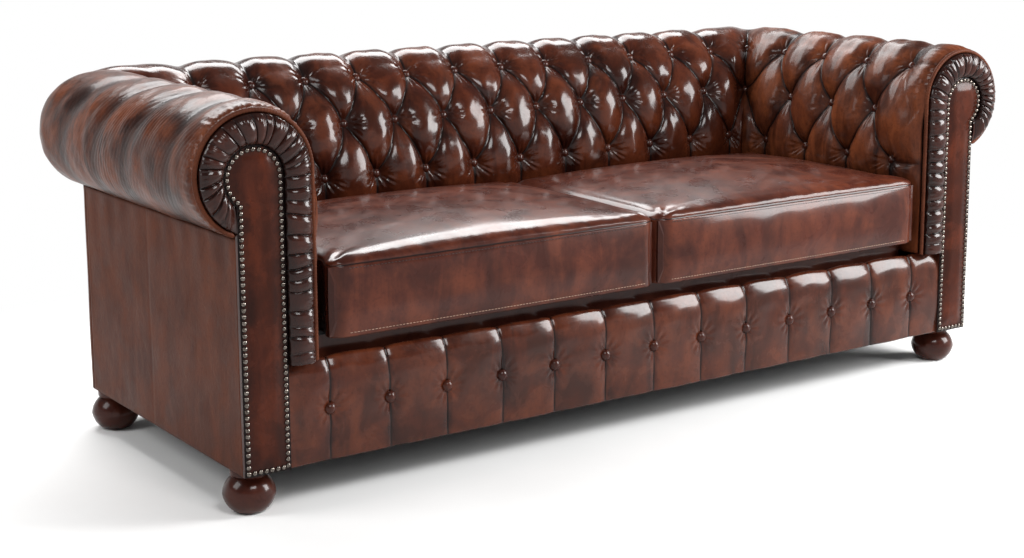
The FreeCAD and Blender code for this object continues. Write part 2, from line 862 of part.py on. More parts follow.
def facing_border():
    """Gathered border round the facing: crowned between its edges, with a wave in the crown."""
    y_front, y_back, nose = mm(front), mm(behind_face), mm("nose")
    wires = []
    for index, (inner, outer) in enumerate(border_stations()):
        crown = nose if index % 2 == 0 else nose - mm("border_wave")
        a = Vector(inner.x, y_front + 1, inner.z)
        b = Vector(outer.x, y_front + 2, outer.z)
        middle = (inner + outer) / 2
        top = Vector(middle.x, y_front - crown, middle.z)
        edges = [
            Part.Arc(a, top, b).toShape(),
            Part.LineSegment(b, Vector(outer.x, y_back, outer.z)).toShape(),
            Part.LineSegment(Vector(outer.x, y_back, outer.z), Vector(inner.x, y_back, inner.z)).toShape(),
            Part.LineSegment(Vector(inner.x, y_back, inner.z), a).toShape(),
        ]
        wires.append(Part.Wire(edges))
    return ruled(wires)


def facing_piping():
    """Piping along the border's outer edge."""
    radius = mm("roll_radius") - mm("piping_size") / 2
    centre = Vector(mm(side) - mm("roll_inset"), mm(front) + mm("piping_size") / 2 + 0.6, mm("roll_height"))
    end = math.acos(mm("roll_inset") / radius) - math.radians(2)

    def at(angle):
        return centre + Vector(math.cos(angle), 0, math.sin(angle)) * radius

    low = Vector(centre.x - radius, centre.y, mm("rail_top") + mm("soft_gap"))
    path = Part.Wire(
        [
            Part.LineSegment(low, at(math.pi)).toShape(),
            Part.Arc(at(math.pi), at(math.pi * 3 / 4), at(math.pi / 2)).toShape(),
            Part.Arc(at(math.pi / 2), at((math.pi / 2 - end) / 2), at(-end)).toShape(),
        ]
    )
    circle = Part.Wire(Part.Circle(low, Vector(0, 0, 1), mm("piping_size") / 2).toShape())
    return path.makePipeShell([circle], True, False)


def nail_points():
    """Nail places along the facing's edge, inset from it, right hand side."""
    inset, pitch = mm("nail_inset"), mm("nail_pitch")
    x_in = mm(side) - mm("facing_width") + inset
    x_out = mm(side) - inset
    low = mm("foot_height") + inset
    head = Vector(x_in - inset + mm("head_radius"), 0, mm("roll_height") - mm("head_drop"))
    radius = mm("head_radius") - inset
    notch = head.z - math.sqrt(radius**2 - (x_out - head.x) ** 2)
    points = []

    def along(start, end):
        count = max(1, round((end - start).Length / pitch))
        points.extend(start + (end - start) * (index / count) for index in range(count))

    along(Vector(x_out, 0, low), Vector(x_in, 0, low))
    along(Vector(x_in, 0, low), Vector(x_in, 0, head.z))
    sweep = math.pi + math.asin((head.z - notch) / radius)
    count = round(radius * sweep / pitch)
    for index in range(count):
        angle = math.pi - sweep * index / count
        points.append(head + Vector(math.cos(angle), 0, math.sin(angle)) * radius)
    along(Vector(x_out, 0, notch), Vector(x_out, 0, low))
    return points


def nails(facings):
    """Dome nails, and their holes in the facing's leather and board."""
    y_front = mm(front)
    nail = dome(mm("nail_head"), mm("nail_rise"), 0.8, (mm("nail_shank"), mm("nail_length")))
    places = [Vector(p.x, y_front, p.z) for p in nail_points()]
    right = Part.makeCompound([aimed(nail, place, Vector(0, -1, 0)) for place in places])
    formed("facing_nails_right", right)
    formed("facing_nails_left", flipped(right))
    holes = Part.makeCompound(
        [
            Part.makeCylinder(mm("nail_shank") / 2 + 0.05, mm("nail_length") + 0.2, place, Vector(0, 1, 0))
            for place in places
        ]
    )
    return {"right": holes, "left": flipped(holes)}


def drilled(body, name, holes):
    """The body's shape with the nail holes, kept under its own name."""
    tool = doc.addObject("Part::Feature", name + "_holes")
    tool.Shape = holes
    cut = doc.addObject("Part::Cut", name)
    cut.Base = body
    cut.Tool = tool
    nodes[nodes.index(body)] = cut


# Front rail


def rail_stations():
    """Places along the rail and how far each section is sunk: pleats, their shoulders and the panels."""
    pitch = mm(rail_pitch)
    end = mm(side) - mm("facing_width") - 1
    stations = [(end, 0.25)]
    for index in range(pleats_each_side, -pleats_each_side - 1, -1):
        x = index * pitch
        stations += [(x + 12, 0.25), (x, 1), (x - 12, 0.25), (x - pitch / 2, 0)]
    stations[-1] = (-end, 0.25)
    return stations


def rail_steps(sunk):
    """Section of the rail cover: depth from the arm fronts, and height."""
    puff, top, back = mm("rail_puff"), mm("rail_top"), mm("rail_cover")
    bottom = mm("foot_height")
    gap = mm("soft_gap")
    pad_face = mm("rail_face") - gap
    low = 3 + puff * sunk
    return [
        (low + 4, bottom, 3),
        (low, top - 26, 6 - 2 * sunk),
        (back / 2, top - 8 * sunk, 5),
        (back, top - 12, 0),
        (back, mm("rail_timber_top") + gap, 0),
        (pad_face, mm("rail_timber_top") + gap, 0),
        (pad_face, bottom, 0),
    ]


def front_rail():
    """Rail cover with pleats, its pad and its buttons."""
    y_front = mm(front)
    wires = []
    for x, sunk in rail_stations():
        steps = [(across, up, rise) for across, up, rise in rail_steps(sunk)]
        wires.append(section(steps, lambda across, up, x=x: Vector(x, y_front + across, up)))
    cover = ruled(wires)
    depth = 3 + mm("rail_puff")
    seats = [
        (Vector(mm(rail_pitch) * index, y_front + depth - 1, mm("rail_button_level")), Vector(0, -1, 0))
        for index in range(-pleats_each_side, pleats_each_side + 1)
    ]
    radius = mm("button_size") / 2 + mm("pocket_clearance")
    tools = [Part.makeCylinder(radius, 30, point, facing) for point, facing in seats]
    formed("front_rail_cover", cover.cut(tools))
    shape = dome(mm("button_size"), mm("button_height"), 2)
    formed("rail_buttons", Part.makeCompound([aimed(shape, *seat) for seat in seats]))
    end = f"{side} - facing_width - 2"
    keep(
        bound_box(
            "front_rail_pad",
            (f"-({end})", end),
            (f"{front} + rail_face", f"{rail_line} - soft_gap"),
            ("foot_height + 2", "rail_timber_top"),
        )
    )


# Seat


def cushion_form(inset):
    """A crowned box cushion on the right, drawn in along its outer side, or its inside at an inset."""
    inner = mm("parting") / 2 + inset
    outer = mm(cushion_end) - inset
    y_low = mm(front) + inset
    y_high = mm(cushion_rear) - inset
    bottom = mm("deck_top") + mm("soft_gap") + inset
    edge = mm("cushion_edge") - inset
    crown, bulge, draw = mm("cushion_crown"), mm("cushion_bulge"), mm("cushion_draw")
    boxing = (edge - bottom) * 0.22
    seam_low, seam_high = y_low + bulge, y_high - bulge

    def across(y, step, lift, swell):
        """A section at one depth: step draws its four corners in."""
        pull = draw * min(1, max(0, y - seam_low) / 70)
        low, high = inner + step * 0.3 + 2, outer - step * 0.3 - pull
        steps = [
            (low, bottom + step, 0),
            (high, bottom + step, -swell),
            (high, edge - step, -lift),
            (low, edge - step, -swell * 0.3),
        ]
        return section(steps, lambda x, up: Vector(x, y, up))

    wires = [across(y_low, boxing, 2, 1)]
    for share in (-1, -0.96, -0.86, -0.72, -0.4, 0, 0.4, 0.72, 0.9, 1):
        lift = crown * max(0, 1 - share**2) ** 0.4 + 4
        y = (seam_low + seam_high) / 2 + (seam_high - seam_low) / 2 * share
        wires.append(across(y, 0, lift, bulge / 2 * (1 - share**2) + 1))
    wires.append(across(y_high, boxing, 2, 1))
    return ruled(wires)


def cushions():
    """Cushion covers, foam cores, zips and sliders."""
    outer = cushion_form(0)
    cover = outer.cut(cushion_form(mm("cover_wall")))
    core = cushion_form(mm("cover_wall") + mm("soft_gap"))
    formed("cushion_cover_right", cover)
    formed("cushion_cover_left", flipped(cover))
    formed("cushion_core_right", core)
    formed("cushion_core_left", flipped(core))
    middle = f"(parting / 2 + {cushion_end}) / 2"
    y_tape = f"{cushion_rear} + soft_gap"
    tape = (f"{middle} - zip_length / 2", f"{middle} + zip_length / 2")
    tape_y = (y_tape, f"{y_tape} + zip_tape")
    tape_z = ("zip_level - zip_width / 2", "zip_level + zip_width / 2")
    slider = (f"{tape[1]} - slider_length", tape[1])
    slider_y = (f"{y_tape} + zip_tape + 0.1", f"{y_tape} + zip_tape + 0.1 + slider_height")
    slider_z = ("zip_level - slider_width / 2", "zip_level + slider_width / 2")
    for hand, turn in (("right", lambda x: x), ("left", mirrored)):
        keep(bound_box(f"zip_tape_{hand}", turn(tape), tape_y, tape_z))
        keep(bound_box(f"zip_slider_{hand}", turn(slider), slider_y, slider_z))


def spring_path(x):
    """A zigzag wire from the front rail to the rear rail: straight runs joined by half turns."""
    bend, run = mm("spring_bend"), mm("spring_run")
    wire = mm("spring_wire")
    z = mm("rail_timber_top") + mm("clip_height") / 2
    start = mm(rail_line) + mm("timber") - mm("clip_depth") / 2 - 1
    end = mm(rear_line) + mm("clip_depth") / 2 + 1
    turns = int((end - start) / (2 * bend))
    pitch = (end - start) / turns
    radius = pitch / 2
    edges = []
    for index in range(turns + 1):
        y = start + pitch * index
        hand = 1 if index % 2 == 0 else -1
        edges.append(
            Part.LineSegment(Vector(x - hand * run / 2, y, z), Vector(x + hand * run / 2, y, z)).toShape()
        )
        if index < turns:
            side_x = x + hand * run / 2
            corner = Vector(side_x + hand * radius, y + radius, z)
            quarter = Vector(hand * radius * math.sin(math.pi / 4), radius - radius * math.cos(math.pi / 4), 0)
            late = Vector(hand * radius * math.sin(math.pi / 4), radius + radius * math.cos(math.pi / 4), 0)
            base = Vector(side_x, y, z)
            edges.append(Part.Arc(base, base + quarter, corner).toShape())
            edges.append(Part.Arc(corner, base + late, Vector(side_x, y + pitch, z)).toShape())
    return Part.Wire(edges), start, end, z


def spring_places():
    return [mm(spring_pitch) * (index - springs_each_side + 0.5) for index in range(2 * springs_each_side)]


def seat_springs():
    """Zigzag springs and the clips that hold their ends on the rails."""
    wire_radius = mm("spring_wire") / 2
    path, start, end, z = spring_path(0)
    first = path.Edges[0].Vertexes[0].Point
    circle = Part.Wire(Part.Circle(first, Vector(1, 0, 0), wire_radius).toShape())
    spring = path.makePipeShell([circle], True, False)
    springs = []
    clips = []
    width, depth, height = mm("clip_width"), mm("clip_depth"), mm("clip_height")
    for x in spring_places():
        copy = spring.copy()
        copy.translate(Vector(x, 0, 0))
        springs.append(copy)
        for y in (start, end):
            block = Part.makeBox(width, depth, height, Vector(x - width / 2, y - depth / 2, mm("rail_timber_top")))
            bore = Part.makeCylinder(
                wire_radius + 0.1, width + 20, Vector(x - width / 2 - 10, y, z), Vector(1, 0, 0)
            )
            clips.append(block.cut(bore))
    formed("seat_springs", Part.makeCompound(springs))
    formed("spring_clips", Part.makeCompound(clips))


def deck():
    """Deck pad on the springs, the dark cloth over it and its front lip."""
    end = f"{side} - arm_tuck - 12"
    y_low = f"{front} + deck_setback"
    y_high = f"{rear} - back_tuck - 3"
    x = (f"-({end})", end)
    keep(
        bound_box(
            "deck_pad", x, (f"{y_low} + deck_cloth", y_high),
            ("rail_timber_top + clip_height + soft_gap", "deck_top - deck_cloth"),
        )
    )
    top = bound_box("deck_cloth_top", x, (y_low, y_high), ("deck_top - deck_cloth", "deck_top"))
    lip = bound_box(
        "deck_cloth_lip", x, (y_low, f"{y_low} + deck_cloth"), ("rail_top - 9", "deck_top - deck_cloth")
    )
    cloth = doc.addObject("Part::Fuse", "deck_cloth")
    cloth.Base = top
    cloth.Tool = lip
    keep(cloth)


def dust_cover():
    """Black cloth under the frame, cut away round the feet."""
    z = ("foot_height - dust_cover", "foot_height")
    end = f"{side} - {backing} - 4"
    sheet_box = bound_box("dust_sheet", (f"-({end})", end), (f"{front} + 30", f"{rear} - 12"), z)
    notches = []
    for index, place in enumerate(foot_places()):
        x = (f"{place[0]} - foot_collar - 6", f"{place[0]} + foot_collar + 6")
        y = (f"{place[1]} - foot_collar - 6", f"{place[1]} + foot_collar + 6")
        deep = ("foot_height - 5", "foot_height + 5")
        notches.append(bound_box(f"dust_notch_{index}", x, y, deep))
    tool = doc.addObject("Part::MultiFuse", "dust_notches")
    tool.Shapes = notches
    cut = doc.addObject("Part::Cut", "dust_cover")
    cut.Base = sheet_box
    cut.Tool = tool
    keep(cut)


# Feet and fixings


def foot_places():
    """The feet's axes, as expressions: front right, front left, rear right, rear left."""
    x = f"({side} - foot_inset)"
    y_front = f"({front} + foot_setback)"
    y_rear = f"({rear} - rear_foot_setback)"
    return [(x, y_front), (f"(-{x})", y_front), (x, y_rear), (f"(-{x})", y_rear)]


def feet():
    """Turned bun feet with a hanger bolt and a glide each."""
    names = ("foot_front_right", "foot_front_left", "foot_rear_right", "foot_rear_left")
    bolts, glides = [], []
    for name, (x, y) in zip(names, foot_places()):
        body = keep(doc.addObject("PartDesign::Body", name))
        bolt = "(bolt_size / 2)"
        corners = [
            (bolt, "foot_height - bolt_in_foot"),
            ("0", "foot_height - bolt_in_foot"),
            ("0", "glide_thickness"),
            ("foot_sole", "glide_thickness"),
            ("foot_radius", "(glide_thickness + foot_bun) / 2"),
            ("foot_neck", "foot_bun"),
            ("foot_collar", "foot_bun + 4"),
            ("foot_collar", "foot_height - 3"),
            ("foot_collar - 3", "foot_height"),
            (bolt, "foot_height"),
        ]
        curves = {3: ("foot_radius * 0.95", 1), 4: ("foot_radius * 0.95", 1)}
        sketch = outline_sketch(body, "XZ_Plane", corners, curves)
        turned = body.newObject("PartDesign::Revolution", name + "_turning")
        turned.Profile = sketch
        turned.ReferenceAxis = (sketch, ["V_Axis"])
        turned.Angle = 360
        body.setExpression("Placement.Base.x", bound(x))
        body.setExpression("Placement.Base.y", bound(y))
        bolts.append(
            bound_rod(name + "_bolt", "bolt_size / 2 - 0.1", "bolt_length", (x, y), "foot_height - bolt_in_foot")
        )
        glides.append(bound_rod(name + "_glide", "glide_size / 2", "glide_thickness", (x, y), "0"))
    group("hanger_bolts", bolts)
    group("foot_glides", glides)


seat_rails()
posts_and_rails()
facings = arm_fronts()
arm_panels()
tufted_covers()
formed("facing_border_right", facing_border())
formed("facing_border_left", flipped(facing_border()))
formed("facing_piping_right", facing_piping())
formed("facing_piping_left", flipped(facing_piping()))
for hand, holes in nails(facings).items():
    for body in facings[hand]:
        drilled(body, body.Name.removesuffix("_blank"), holes)
front_rail()
cushions()
seat_springs()
deck()
dust_cover()
feet()
doc.recompute()

# Every object has to be sound before anything is written
faults = [thing.Name for thing in doc.Objects if "Invalid" in thing.State or "Error" in thing.State]
faults += [node.Name for node in nodes if node.Shape.isNull() or not node.Shape.isValid()]
if faults:
    raise RuntimeError("not sound: " + ", ".join(faults))
os.makedirs("parts", exist_ok=True)
for node in nodes:
    node.Shape.exportStep(f"parts/{node.Label}.step")
    print(node.Label, len(node.Shape.Solids), round(node.Shape.Volume))
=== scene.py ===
# A deep buttoned leather sofa, dressed round the model of its construction
import json
import math

import bpy
import numpy as np
from mathutils import Matrix, Vector


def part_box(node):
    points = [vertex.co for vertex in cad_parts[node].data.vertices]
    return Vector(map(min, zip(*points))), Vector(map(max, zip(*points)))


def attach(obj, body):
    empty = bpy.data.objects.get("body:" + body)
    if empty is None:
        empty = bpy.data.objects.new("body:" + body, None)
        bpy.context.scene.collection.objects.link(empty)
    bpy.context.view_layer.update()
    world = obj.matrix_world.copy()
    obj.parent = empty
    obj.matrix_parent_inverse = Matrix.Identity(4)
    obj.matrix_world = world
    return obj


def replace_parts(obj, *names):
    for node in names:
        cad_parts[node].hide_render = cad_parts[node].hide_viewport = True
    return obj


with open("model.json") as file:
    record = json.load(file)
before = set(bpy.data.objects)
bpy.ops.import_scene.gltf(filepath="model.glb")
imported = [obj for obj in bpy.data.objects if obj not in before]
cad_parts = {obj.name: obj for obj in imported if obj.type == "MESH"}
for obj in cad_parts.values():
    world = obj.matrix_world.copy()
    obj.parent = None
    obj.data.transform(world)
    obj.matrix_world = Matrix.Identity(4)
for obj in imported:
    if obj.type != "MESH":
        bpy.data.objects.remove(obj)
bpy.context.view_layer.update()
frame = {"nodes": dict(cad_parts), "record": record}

nodes = frame["nodes"]

# Places read from the frame, in metres: x runs along the sofa, and its front faces -y
panelLow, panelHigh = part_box("outside_arm_panel_right")
pipingLow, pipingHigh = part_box("facing_piping_right")
facingLow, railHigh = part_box("facing_leather_right")[0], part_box("front_rail_cover")[1]
cushionLow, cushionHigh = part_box("cushion_cover_right")
side, footTop, panelTop = panelHigh.x, panelLow.z, panelHigh.z
front, rear = facingLow.y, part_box("outside_back_panel")[1].y
rollRadius = (pipingHigh.x - pipingLow.x) / 2
rollInset = side - pipingHigh.x + rollRadius
rollHeight = pipingHigh.z - rollRadius
cornerRadius = rear - panelHigh.y - 0.001
sideLength = rear - cornerRadius - front
hands = ((1, "right"), (-1, "left"))
print("frame read: side", round(side, 4), "roll", [round(p, 4) for p in (rollRadius, rollInset, rollHeight)])


# Mesh helpers


def gridFaces(rows, columns, wrapRows=False, wrapColumns=False):
    # quads between neighbouring points of a grid whose points run row by row
    rowCount = rows if wrapRows else rows - 1
    columnCount = columns if wrapColumns else columns - 1
    r, c = np.meshgrid(np.arange(rowCount), np.arange(columnCount), indexing="ij")
    r, c = r.ravel(), c.ravel()
    nextR, nextC = (r + 1) % rows, (c + 1) % columns
    return np.stack([r * columns + c, r * columns + nextC, nextR * columns + nextC, nextR * columns + c], 1)


def endCaps(count, width):
    # the two polygons over the first and the last column of a grid
    column = np.arange(count) * width
    return [column[None, ::-1], column[None] + width - 1]


def behind(values, rows):
    # an attribute's grid with that many hidden rows after it, where it is nought
    return np.concatenate([values, np.zeros((rows, values.shape[1]))])


def enclosed(points, blocks):
    # volume inside the faces, less than nothing when they face inwards: a sum of tetrahedra from the origin
    total = 0.0
    for block in blocks:
        start = points[block[:, 0]]
        for index in range(1, block.shape[1] - 1):
            total += np.einsum("ij,ij->", start, np.cross(points[block[:, index]], points[block[:, index + 1]]))
    return total / 6


def makePiece(name, points, faces, finish, body="sofa_frame", attributes=None):
    # a mesh from arrays, turned to face outwards as a whole: faces is one block, or a list of blocks, of equal
    # sided faces
    points = np.asarray(points, float).reshape(-1, 3)
    blocks = [np.asarray(b, np.int32) for b in (faces if isinstance(faces, list) else [faces])]
    if enclosed(points, blocks) < 0:
        blocks = [b[:, ::-1] for b in blocks]
    corners = np.concatenate([b.ravel() for b in blocks])
    totals = np.concatenate([np.full(len(b), b.shape[1], np.int32) for b in blocks])
    starts = np.concatenate([[0], np.cumsum(totals)[:-1]]).astype(np.int32)
    mesh = bpy.data.meshes.new(name)
    mesh.vertices.add(len(points))
    mesh.vertices.foreach_set("co", points.ravel())
    mesh.loops.add(len(corners))
    mesh.loops.foreach_set("vertex_index", corners)
    mesh.polygons.add(len(totals))
    mesh.polygons.foreach_set("loop_start", starts)
    mesh.polygons.foreach_set("loop_total", totals)
    mesh.polygons.foreach_set("use_smooth", np.ones(len(totals), bool))
    mesh.update(calc_edges=True)
    mesh.validate()
    for label, values in (attributes or {}).items():
        made = mesh.attributes.new(label, "FLOAT", "POINT")
        made.data.foreach_set("value", np.asarray(values, float).ravel())
    piece = bpy.data.objects.new(name, mesh)
    bpy.context.scene.collection.objects.link(piece)
    mesh.materials.append(finish)
    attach(piece, body)
    return piece


def makeBar(name, loop, finish, attributes=None):
    # a closed bar from a grid of points whose rows go round it, with a cap at each end
    count, width = loop.shape[:2]
    faces = [gridFaces(count, width, wrapRows=True), *endCaps(count, width)]
    return makePiece(name, loop, faces, finish, attributes=attributes)


def makeSlab(name, skin, back, finish, attributes=None):
    # a thin closed slab between two grids of points, with a wall of quads round its rim
    count, width = skin.shape[:2]
    number = np.arange(count * width).reshape(count, width)
    rim = np.concatenate([number[0, :-1], number[:-1, -1], number[-1, :0:-1], number[:0:-1, 0]])
    wall = np.stack([rim, np.roll(rim, -1), np.roll(rim, -1) + count * width, rim + count * width], 1)
    face = gridFaces(count, width)
    faces = np.concatenate([face, face[:, ::-1] + count * width, wall[:, ::-1]])
    points = np.concatenate([skin.reshape(-1, 3), back.reshape(-1, 3)])
    return makePiece(name, points, faces, finish, attributes=attributes)


def smoothThrough(knots, values, at):
    # cubic through the knots; each slope comes from the two neighbours
    knots, values = np.asarray(knots, float), np.asarray(values, float)
    slopes = np.gradient(values, knots, axis=0)
    k = np.clip(np.searchsorted(knots, at, side="right") - 1, 0, len(knots) - 2)
    width = knots[k + 1] - knots[k]
    t = (at - knots[k]) / width
    if values.ndim > 1:
        t, width = t[..., None], width[..., None]
    early = (2 * t**3 - 3 * t**2 + 1) * values[k] + (t**3 - 2 * t**2 + t) * width * slopes[k]
    late = (3 * t**2 - 2 * t**3) * values[k + 1] + (t**3 - t**2) * width * slopes[k + 1]
    return early + late


def ease(x, low=0.0, high=1.0):
    # 0 below low, 1 above high, and a smooth step between
    t = np.clip((np.asarray(x, float) - low) / (high - low), 0, 1)
    return t * t * (3 - 2 * t)


def bell(x, reach):
    # 1 at nought, falling as the exponential of minus the square of x over its reach
    return np.exp(-((x / reach) ** 2))


def roundCorner(beyondX, beyondY, radius):
    # moves inwards that draw the square of a corner onto a quarter disc, from the distances beyond its edges
    dx, dy = (np.clip((beyond + radius) / radius, 0, 1) for beyond in (beyondX, beyondY))
    return radius * dx * (1 - np.sqrt(1 - dy**2 / 2)), radius * dy * (1 - np.sqrt(1 - dx**2 / 2))


def ripple(seed, x, y, waves=5, shortest=1.0, longest=4.0):
    # a sum of sine waves in seeded directions and lengths, between about -1 and 1
    draw = np.random.default_rng(seed)
    total = 0
    for _ in range(waves):
        angle, length, phase = draw.uniform(0, math.pi), draw.uniform(shortest, longest), draw.uniform(0, 6.3)
        total += np.sin((x * math.cos(angle) + y * math.sin(angle)) * 2 * math.pi / length + phase)
    return total / waves * 1.4


# Materials


def operator(name, swapped=False):
    # an operator's method: it adds the Math node of that name
    def apply(self, other):
        return self.finish.math(name, other, self) if swapped else self.finish.math(name, self, other)

    return apply


class Wire:
    # a socket that can stand in a sum or product
    def __init__(self, finish, socket):
        self.finish = finish
        self.socket = socket

    __add__, __radd__ = operator("ADD"), operator("ADD", True)
    __sub__, __rsub__ = operator("SUBTRACT"), operator("SUBTRACT", True)
    __mul__, __rmul__ = operator("MULTIPLY"), operator("MULTIPLY", True)


class Finish:
    # a material that is wired by expressions on its sockets
    def __init__(self, name, **constants):
        self.material = bpy.data.materials.new(name)
        self.material.use_nodes = True
        self.tree = self.material.node_tree
        self.shader = self.tree.nodes["Principled BSDF"]
        for socket, value in constants.items():
            self.shader.inputs[socket.replace("_", " ")].default_value = value
        self.place = self.node("TexCoord", output="Object")

    def node(self, kind, settings=None, inputs=None, output=0):
        # any node: its settings first, then its sockets' values or links
        made = self.tree.nodes.new("ShaderNode" + kind)
        for key, value in (settings or {}).items():
            setattr(made, key, value)
        for key, value in (inputs or {}).items():
            self.feed(made.inputs[key], value)
        return Wire(self, made.outputs[output])

    def feed(self, socket, value):
        if isinstance(value, Wire):
            self.tree.links.new(value.socket, socket)
        else:
            socket.default_value = value

    def math(self, operation, first, second=0.0):
        return self.node("Math", {"operation": operation}, {0: first, 1: second})

    def noise(self, scale, detail=2.0, rough=0.5, twist=0.0, at=None):
        sockets = {"Vector": at or self.place, "Scale": scale, "Detail": detail, "Roughness": rough}
        return self.node("TexNoise", {}, dict(sockets, Distortion=twist))

    def cells(self, scale):
        return self.node("TexVoronoi", {"feature": "SMOOTH_F1"}, {"Vector": self.place, "Scale": scale})

    def between(self, value, low, high, start=0.0, end=1.0):
        # start below low, end above high, smooth between
        sockets = {"Value": value, "From Min": low, "From Max": high, "To Min": start, "To Max": end}
        return self.node("MapRange", {"interpolation_type": "SMOOTHSTEP"}, sockets)

    def mix(self, share, first, second):
        return self.node("Mix", {"data_type": "RGBA"}, {0: share, 6: first, 7: second}, 2)

    def stretched(self, scale):
        return self.node("Mapping", {}, {"Vector": self.place, "Scale": scale})

    def attribute(self, name):
        return self.node("Attribute", {"attribute_name": name}, {}, "Fac")

    def bump(self, height, distance, strength=1.0, after=None):
        sockets = {"Height": height, "Distance": distance, "Strength": strength}
        if after:
            sockets["Normal"] = after
        return self.node("Bump", {}, sockets)

    def wire(self, **links):
        for socket, value in links.items():
            self.feed(self.shader.inputs[socket.replace("_", " ")], value)
        return self.material


leatherLook = {
    "dark": (0.0105, 0.0025, 0.0016, 1),
    "body": (0.042, 0.0085, 0.0044, 1),
    "warm": (0.1, 0.0238, 0.0086, 1),
    # crease: painted shade colour for folds, creases, seams and edges
    "crease": (0.005, 0.0015, 0.0012, 1),
    "roughness": 0.25,
    "shine": 0.06,  # of the base, and of the thin polish over it
    "polish": 0.42,
    "grain": 420,  # pebbles to the metre
    "wrinkle": 0.0013,  # depth
    "drag": (1.0, 1.0, 0.28),  # the streaks run along the axis with the small scale
}


def leather(name, look=None, puffed=False, warmth=1.0, grain=1.0):
    # antique leather: dark brown rubbed through to a warm one in clouds, with pebbles and light creases.
    # A puffed piece carries two attributes: crown, from 0 in its folds to 1, and crease, 1 in the sharp lines
    # Where the crown is low and along the creases, the colour carries painted shade.
    use = dict(leatherLook, **(look or {}))
    skin = Finish(name, Coat_Roughness=0.13, Coat_IOR=1.5, Coat_Weight=use["polish"],
                  Specular_IOR_Level=use["shine"])
    clouds = skin.noise(6.5, 4, 0.6, 0.6)
    patches = skin.noise(15, 4, 0.55, 0.5)
    specks = skin.noise(150, 3, 0.6)
    streaks = skin.noise(16, 5, 0.62, 1.2, skin.stretched(use["drag"]))
    rubbed = skin.between(clouds * 0.5 + streaks * 0.5, 0.33, 0.67)
    colour = skin.mix(rubbed, use["dark"], use["body"])
    warm = skin.between(patches * 0.5 + clouds * 0.2 + streaks * 0.3, 0.42, 0.68) * (0.85 * warmth)
    colour = skin.mix(warm, colour, use["warm"])
    colour = skin.mix(skin.between(specks, 0.5, 0.72) * 0.4, colour, use["dark"])
    rough = skin.between(patches, 0.3, 0.7, use["roughness"] - 0.05, use["roughness"] + 0.07)
    if puffed:
        crease = skin.attribute("crease")
        crown = skin.attribute("crown")
        colour = skin.mix(skin.between(crown, 0.5, 1.0) * 0.18, colour, use["warm"])
        # painted shade: darker where the crown is low, and darkest along the sharp creases
        colour = skin.mix(skin.between(crown, 0.6, 0.1) * 0.6, colour, use["dark"])
        colour = skin.mix(skin.between(crease, 0.2, 0.8), colour, use["crease"])
        rough = rough + crease * 0.3
    pebbles = skin.cells(use["grain"])
    fine = skin.noise(use["grain"] * 1.7, 2, 0.6)
    wrinkles = skin.noise(48, 5, 0.62, 1.6)
    relief = skin.bump(pebbles * 0.6 + fine * 0.4, 0.00014 * grain)
    relief = skin.bump(wrinkles, use["wrinkle"], 0.5, relief)
    return skin.wire(Base_Color=colour, Roughness=rough, Normal=relief)


coverLeather = leather("cover leather", puffed=True)
rollLeather = leather("roll leather", {
    "body": (0.074, 0.0195, 0.01, 1), "warm": (0.155, 0.041, 0.014, 1), "drag": (0.3, 1.5, 0.3),
    "roughness": 0.34, "shine": 0.08, "polish": 0.12}, puffed=True, warmth=1.1)
cushionLeather = leather("cushion leather", {
    "dark": (0.027, 0.0062, 0.0038, 1), "body": (0.062, 0.0142, 0.0082, 1), "warm": (0.112, 0.0275, 0.0115, 1),
    "roughness": 0.3, "polish": 0.35, "wrinkle": 0.0003}, puffed=True, grain=0.6)
outsideLeather = leather("outside leather", {
    "dark": (0.055, 0.0165, 0.009, 1), "body": (0.092, 0.029, 0.0155, 1), "warm": (0.122, 0.036, 0.0165, 1),
    "roughness": 0.42, "shine": 0.05, "polish": 0.0}, warmth=0.7)
facingLeather = leather("facing leather", {
    "dark": (0.016, 0.004, 0.0022, 1), "body": (0.033, 0.0075, 0.004, 1), "warm": (0.085, 0.0165, 0.0055, 1),
    "shine": 0.05, "polish": 0.16}, puffed=True)
borderLeather = leather("border leather", {
    "body": (0.022, 0.0055, 0.0035, 1), "warm": (0.045, 0.0105, 0.0055, 1),
    "roughness": 0.24, "shine": 0.05, "polish": 0.5}, puffed=True)
# a lighter copy of the leather: its brighter colour paints the glossy buttons' highlights
buttonLeather = leather("button leather", {"roughness": 0.18, "polish": 1.0, "dark": (0.07, 0.02, 0.014, 1),
                                           "body": (0.16, 0.05, 0.035, 1), "warm": (0.22, 0.07, 0.045, 1)})


def nailMetal():
    # brass gone dark in patches
    brass = Finish("aged nail brass", Metallic=1.0)
    tarnish = brass.between(brass.noise(260, 3, 0.6), 0.35, 0.65)
    colour = brass.mix(tarnish, (0.2, 0.175, 0.155, 1), (0.075, 0.062, 0.052, 1))
    return brass.wire(Base_Color=colour, Roughness=tarnish * 0.12 + 0.16)


def turnedWood():
    # dark stain with an upright figure and fine pores, under a coat
    wood = Finish("stained foot wood", Coat_Weight=0.7, Coat_Roughness=0.06, Specular_IOR_Level=0.3)
    figure = wood.noise(9, 4, 0.6, 1.4, wood.stretched((1.0, 1.0, 6.0)))
    pores = wood.noise(160, 3, 0.5, 0, wood.stretched((1.0, 1.0, 0.15)))
    colour = wood.mix(wood.between(figure, 0.35, 0.65), (0.012, 0.003, 0.002, 1), (0.045, 0.0105, 0.006, 1))
    relief = wood.bump(pores, 0.0002)
    return wood.wire(Base_Color=colour, Roughness=wood.between(figure, 0.3, 0.7, 0.22, 0.34), Normal=relief)


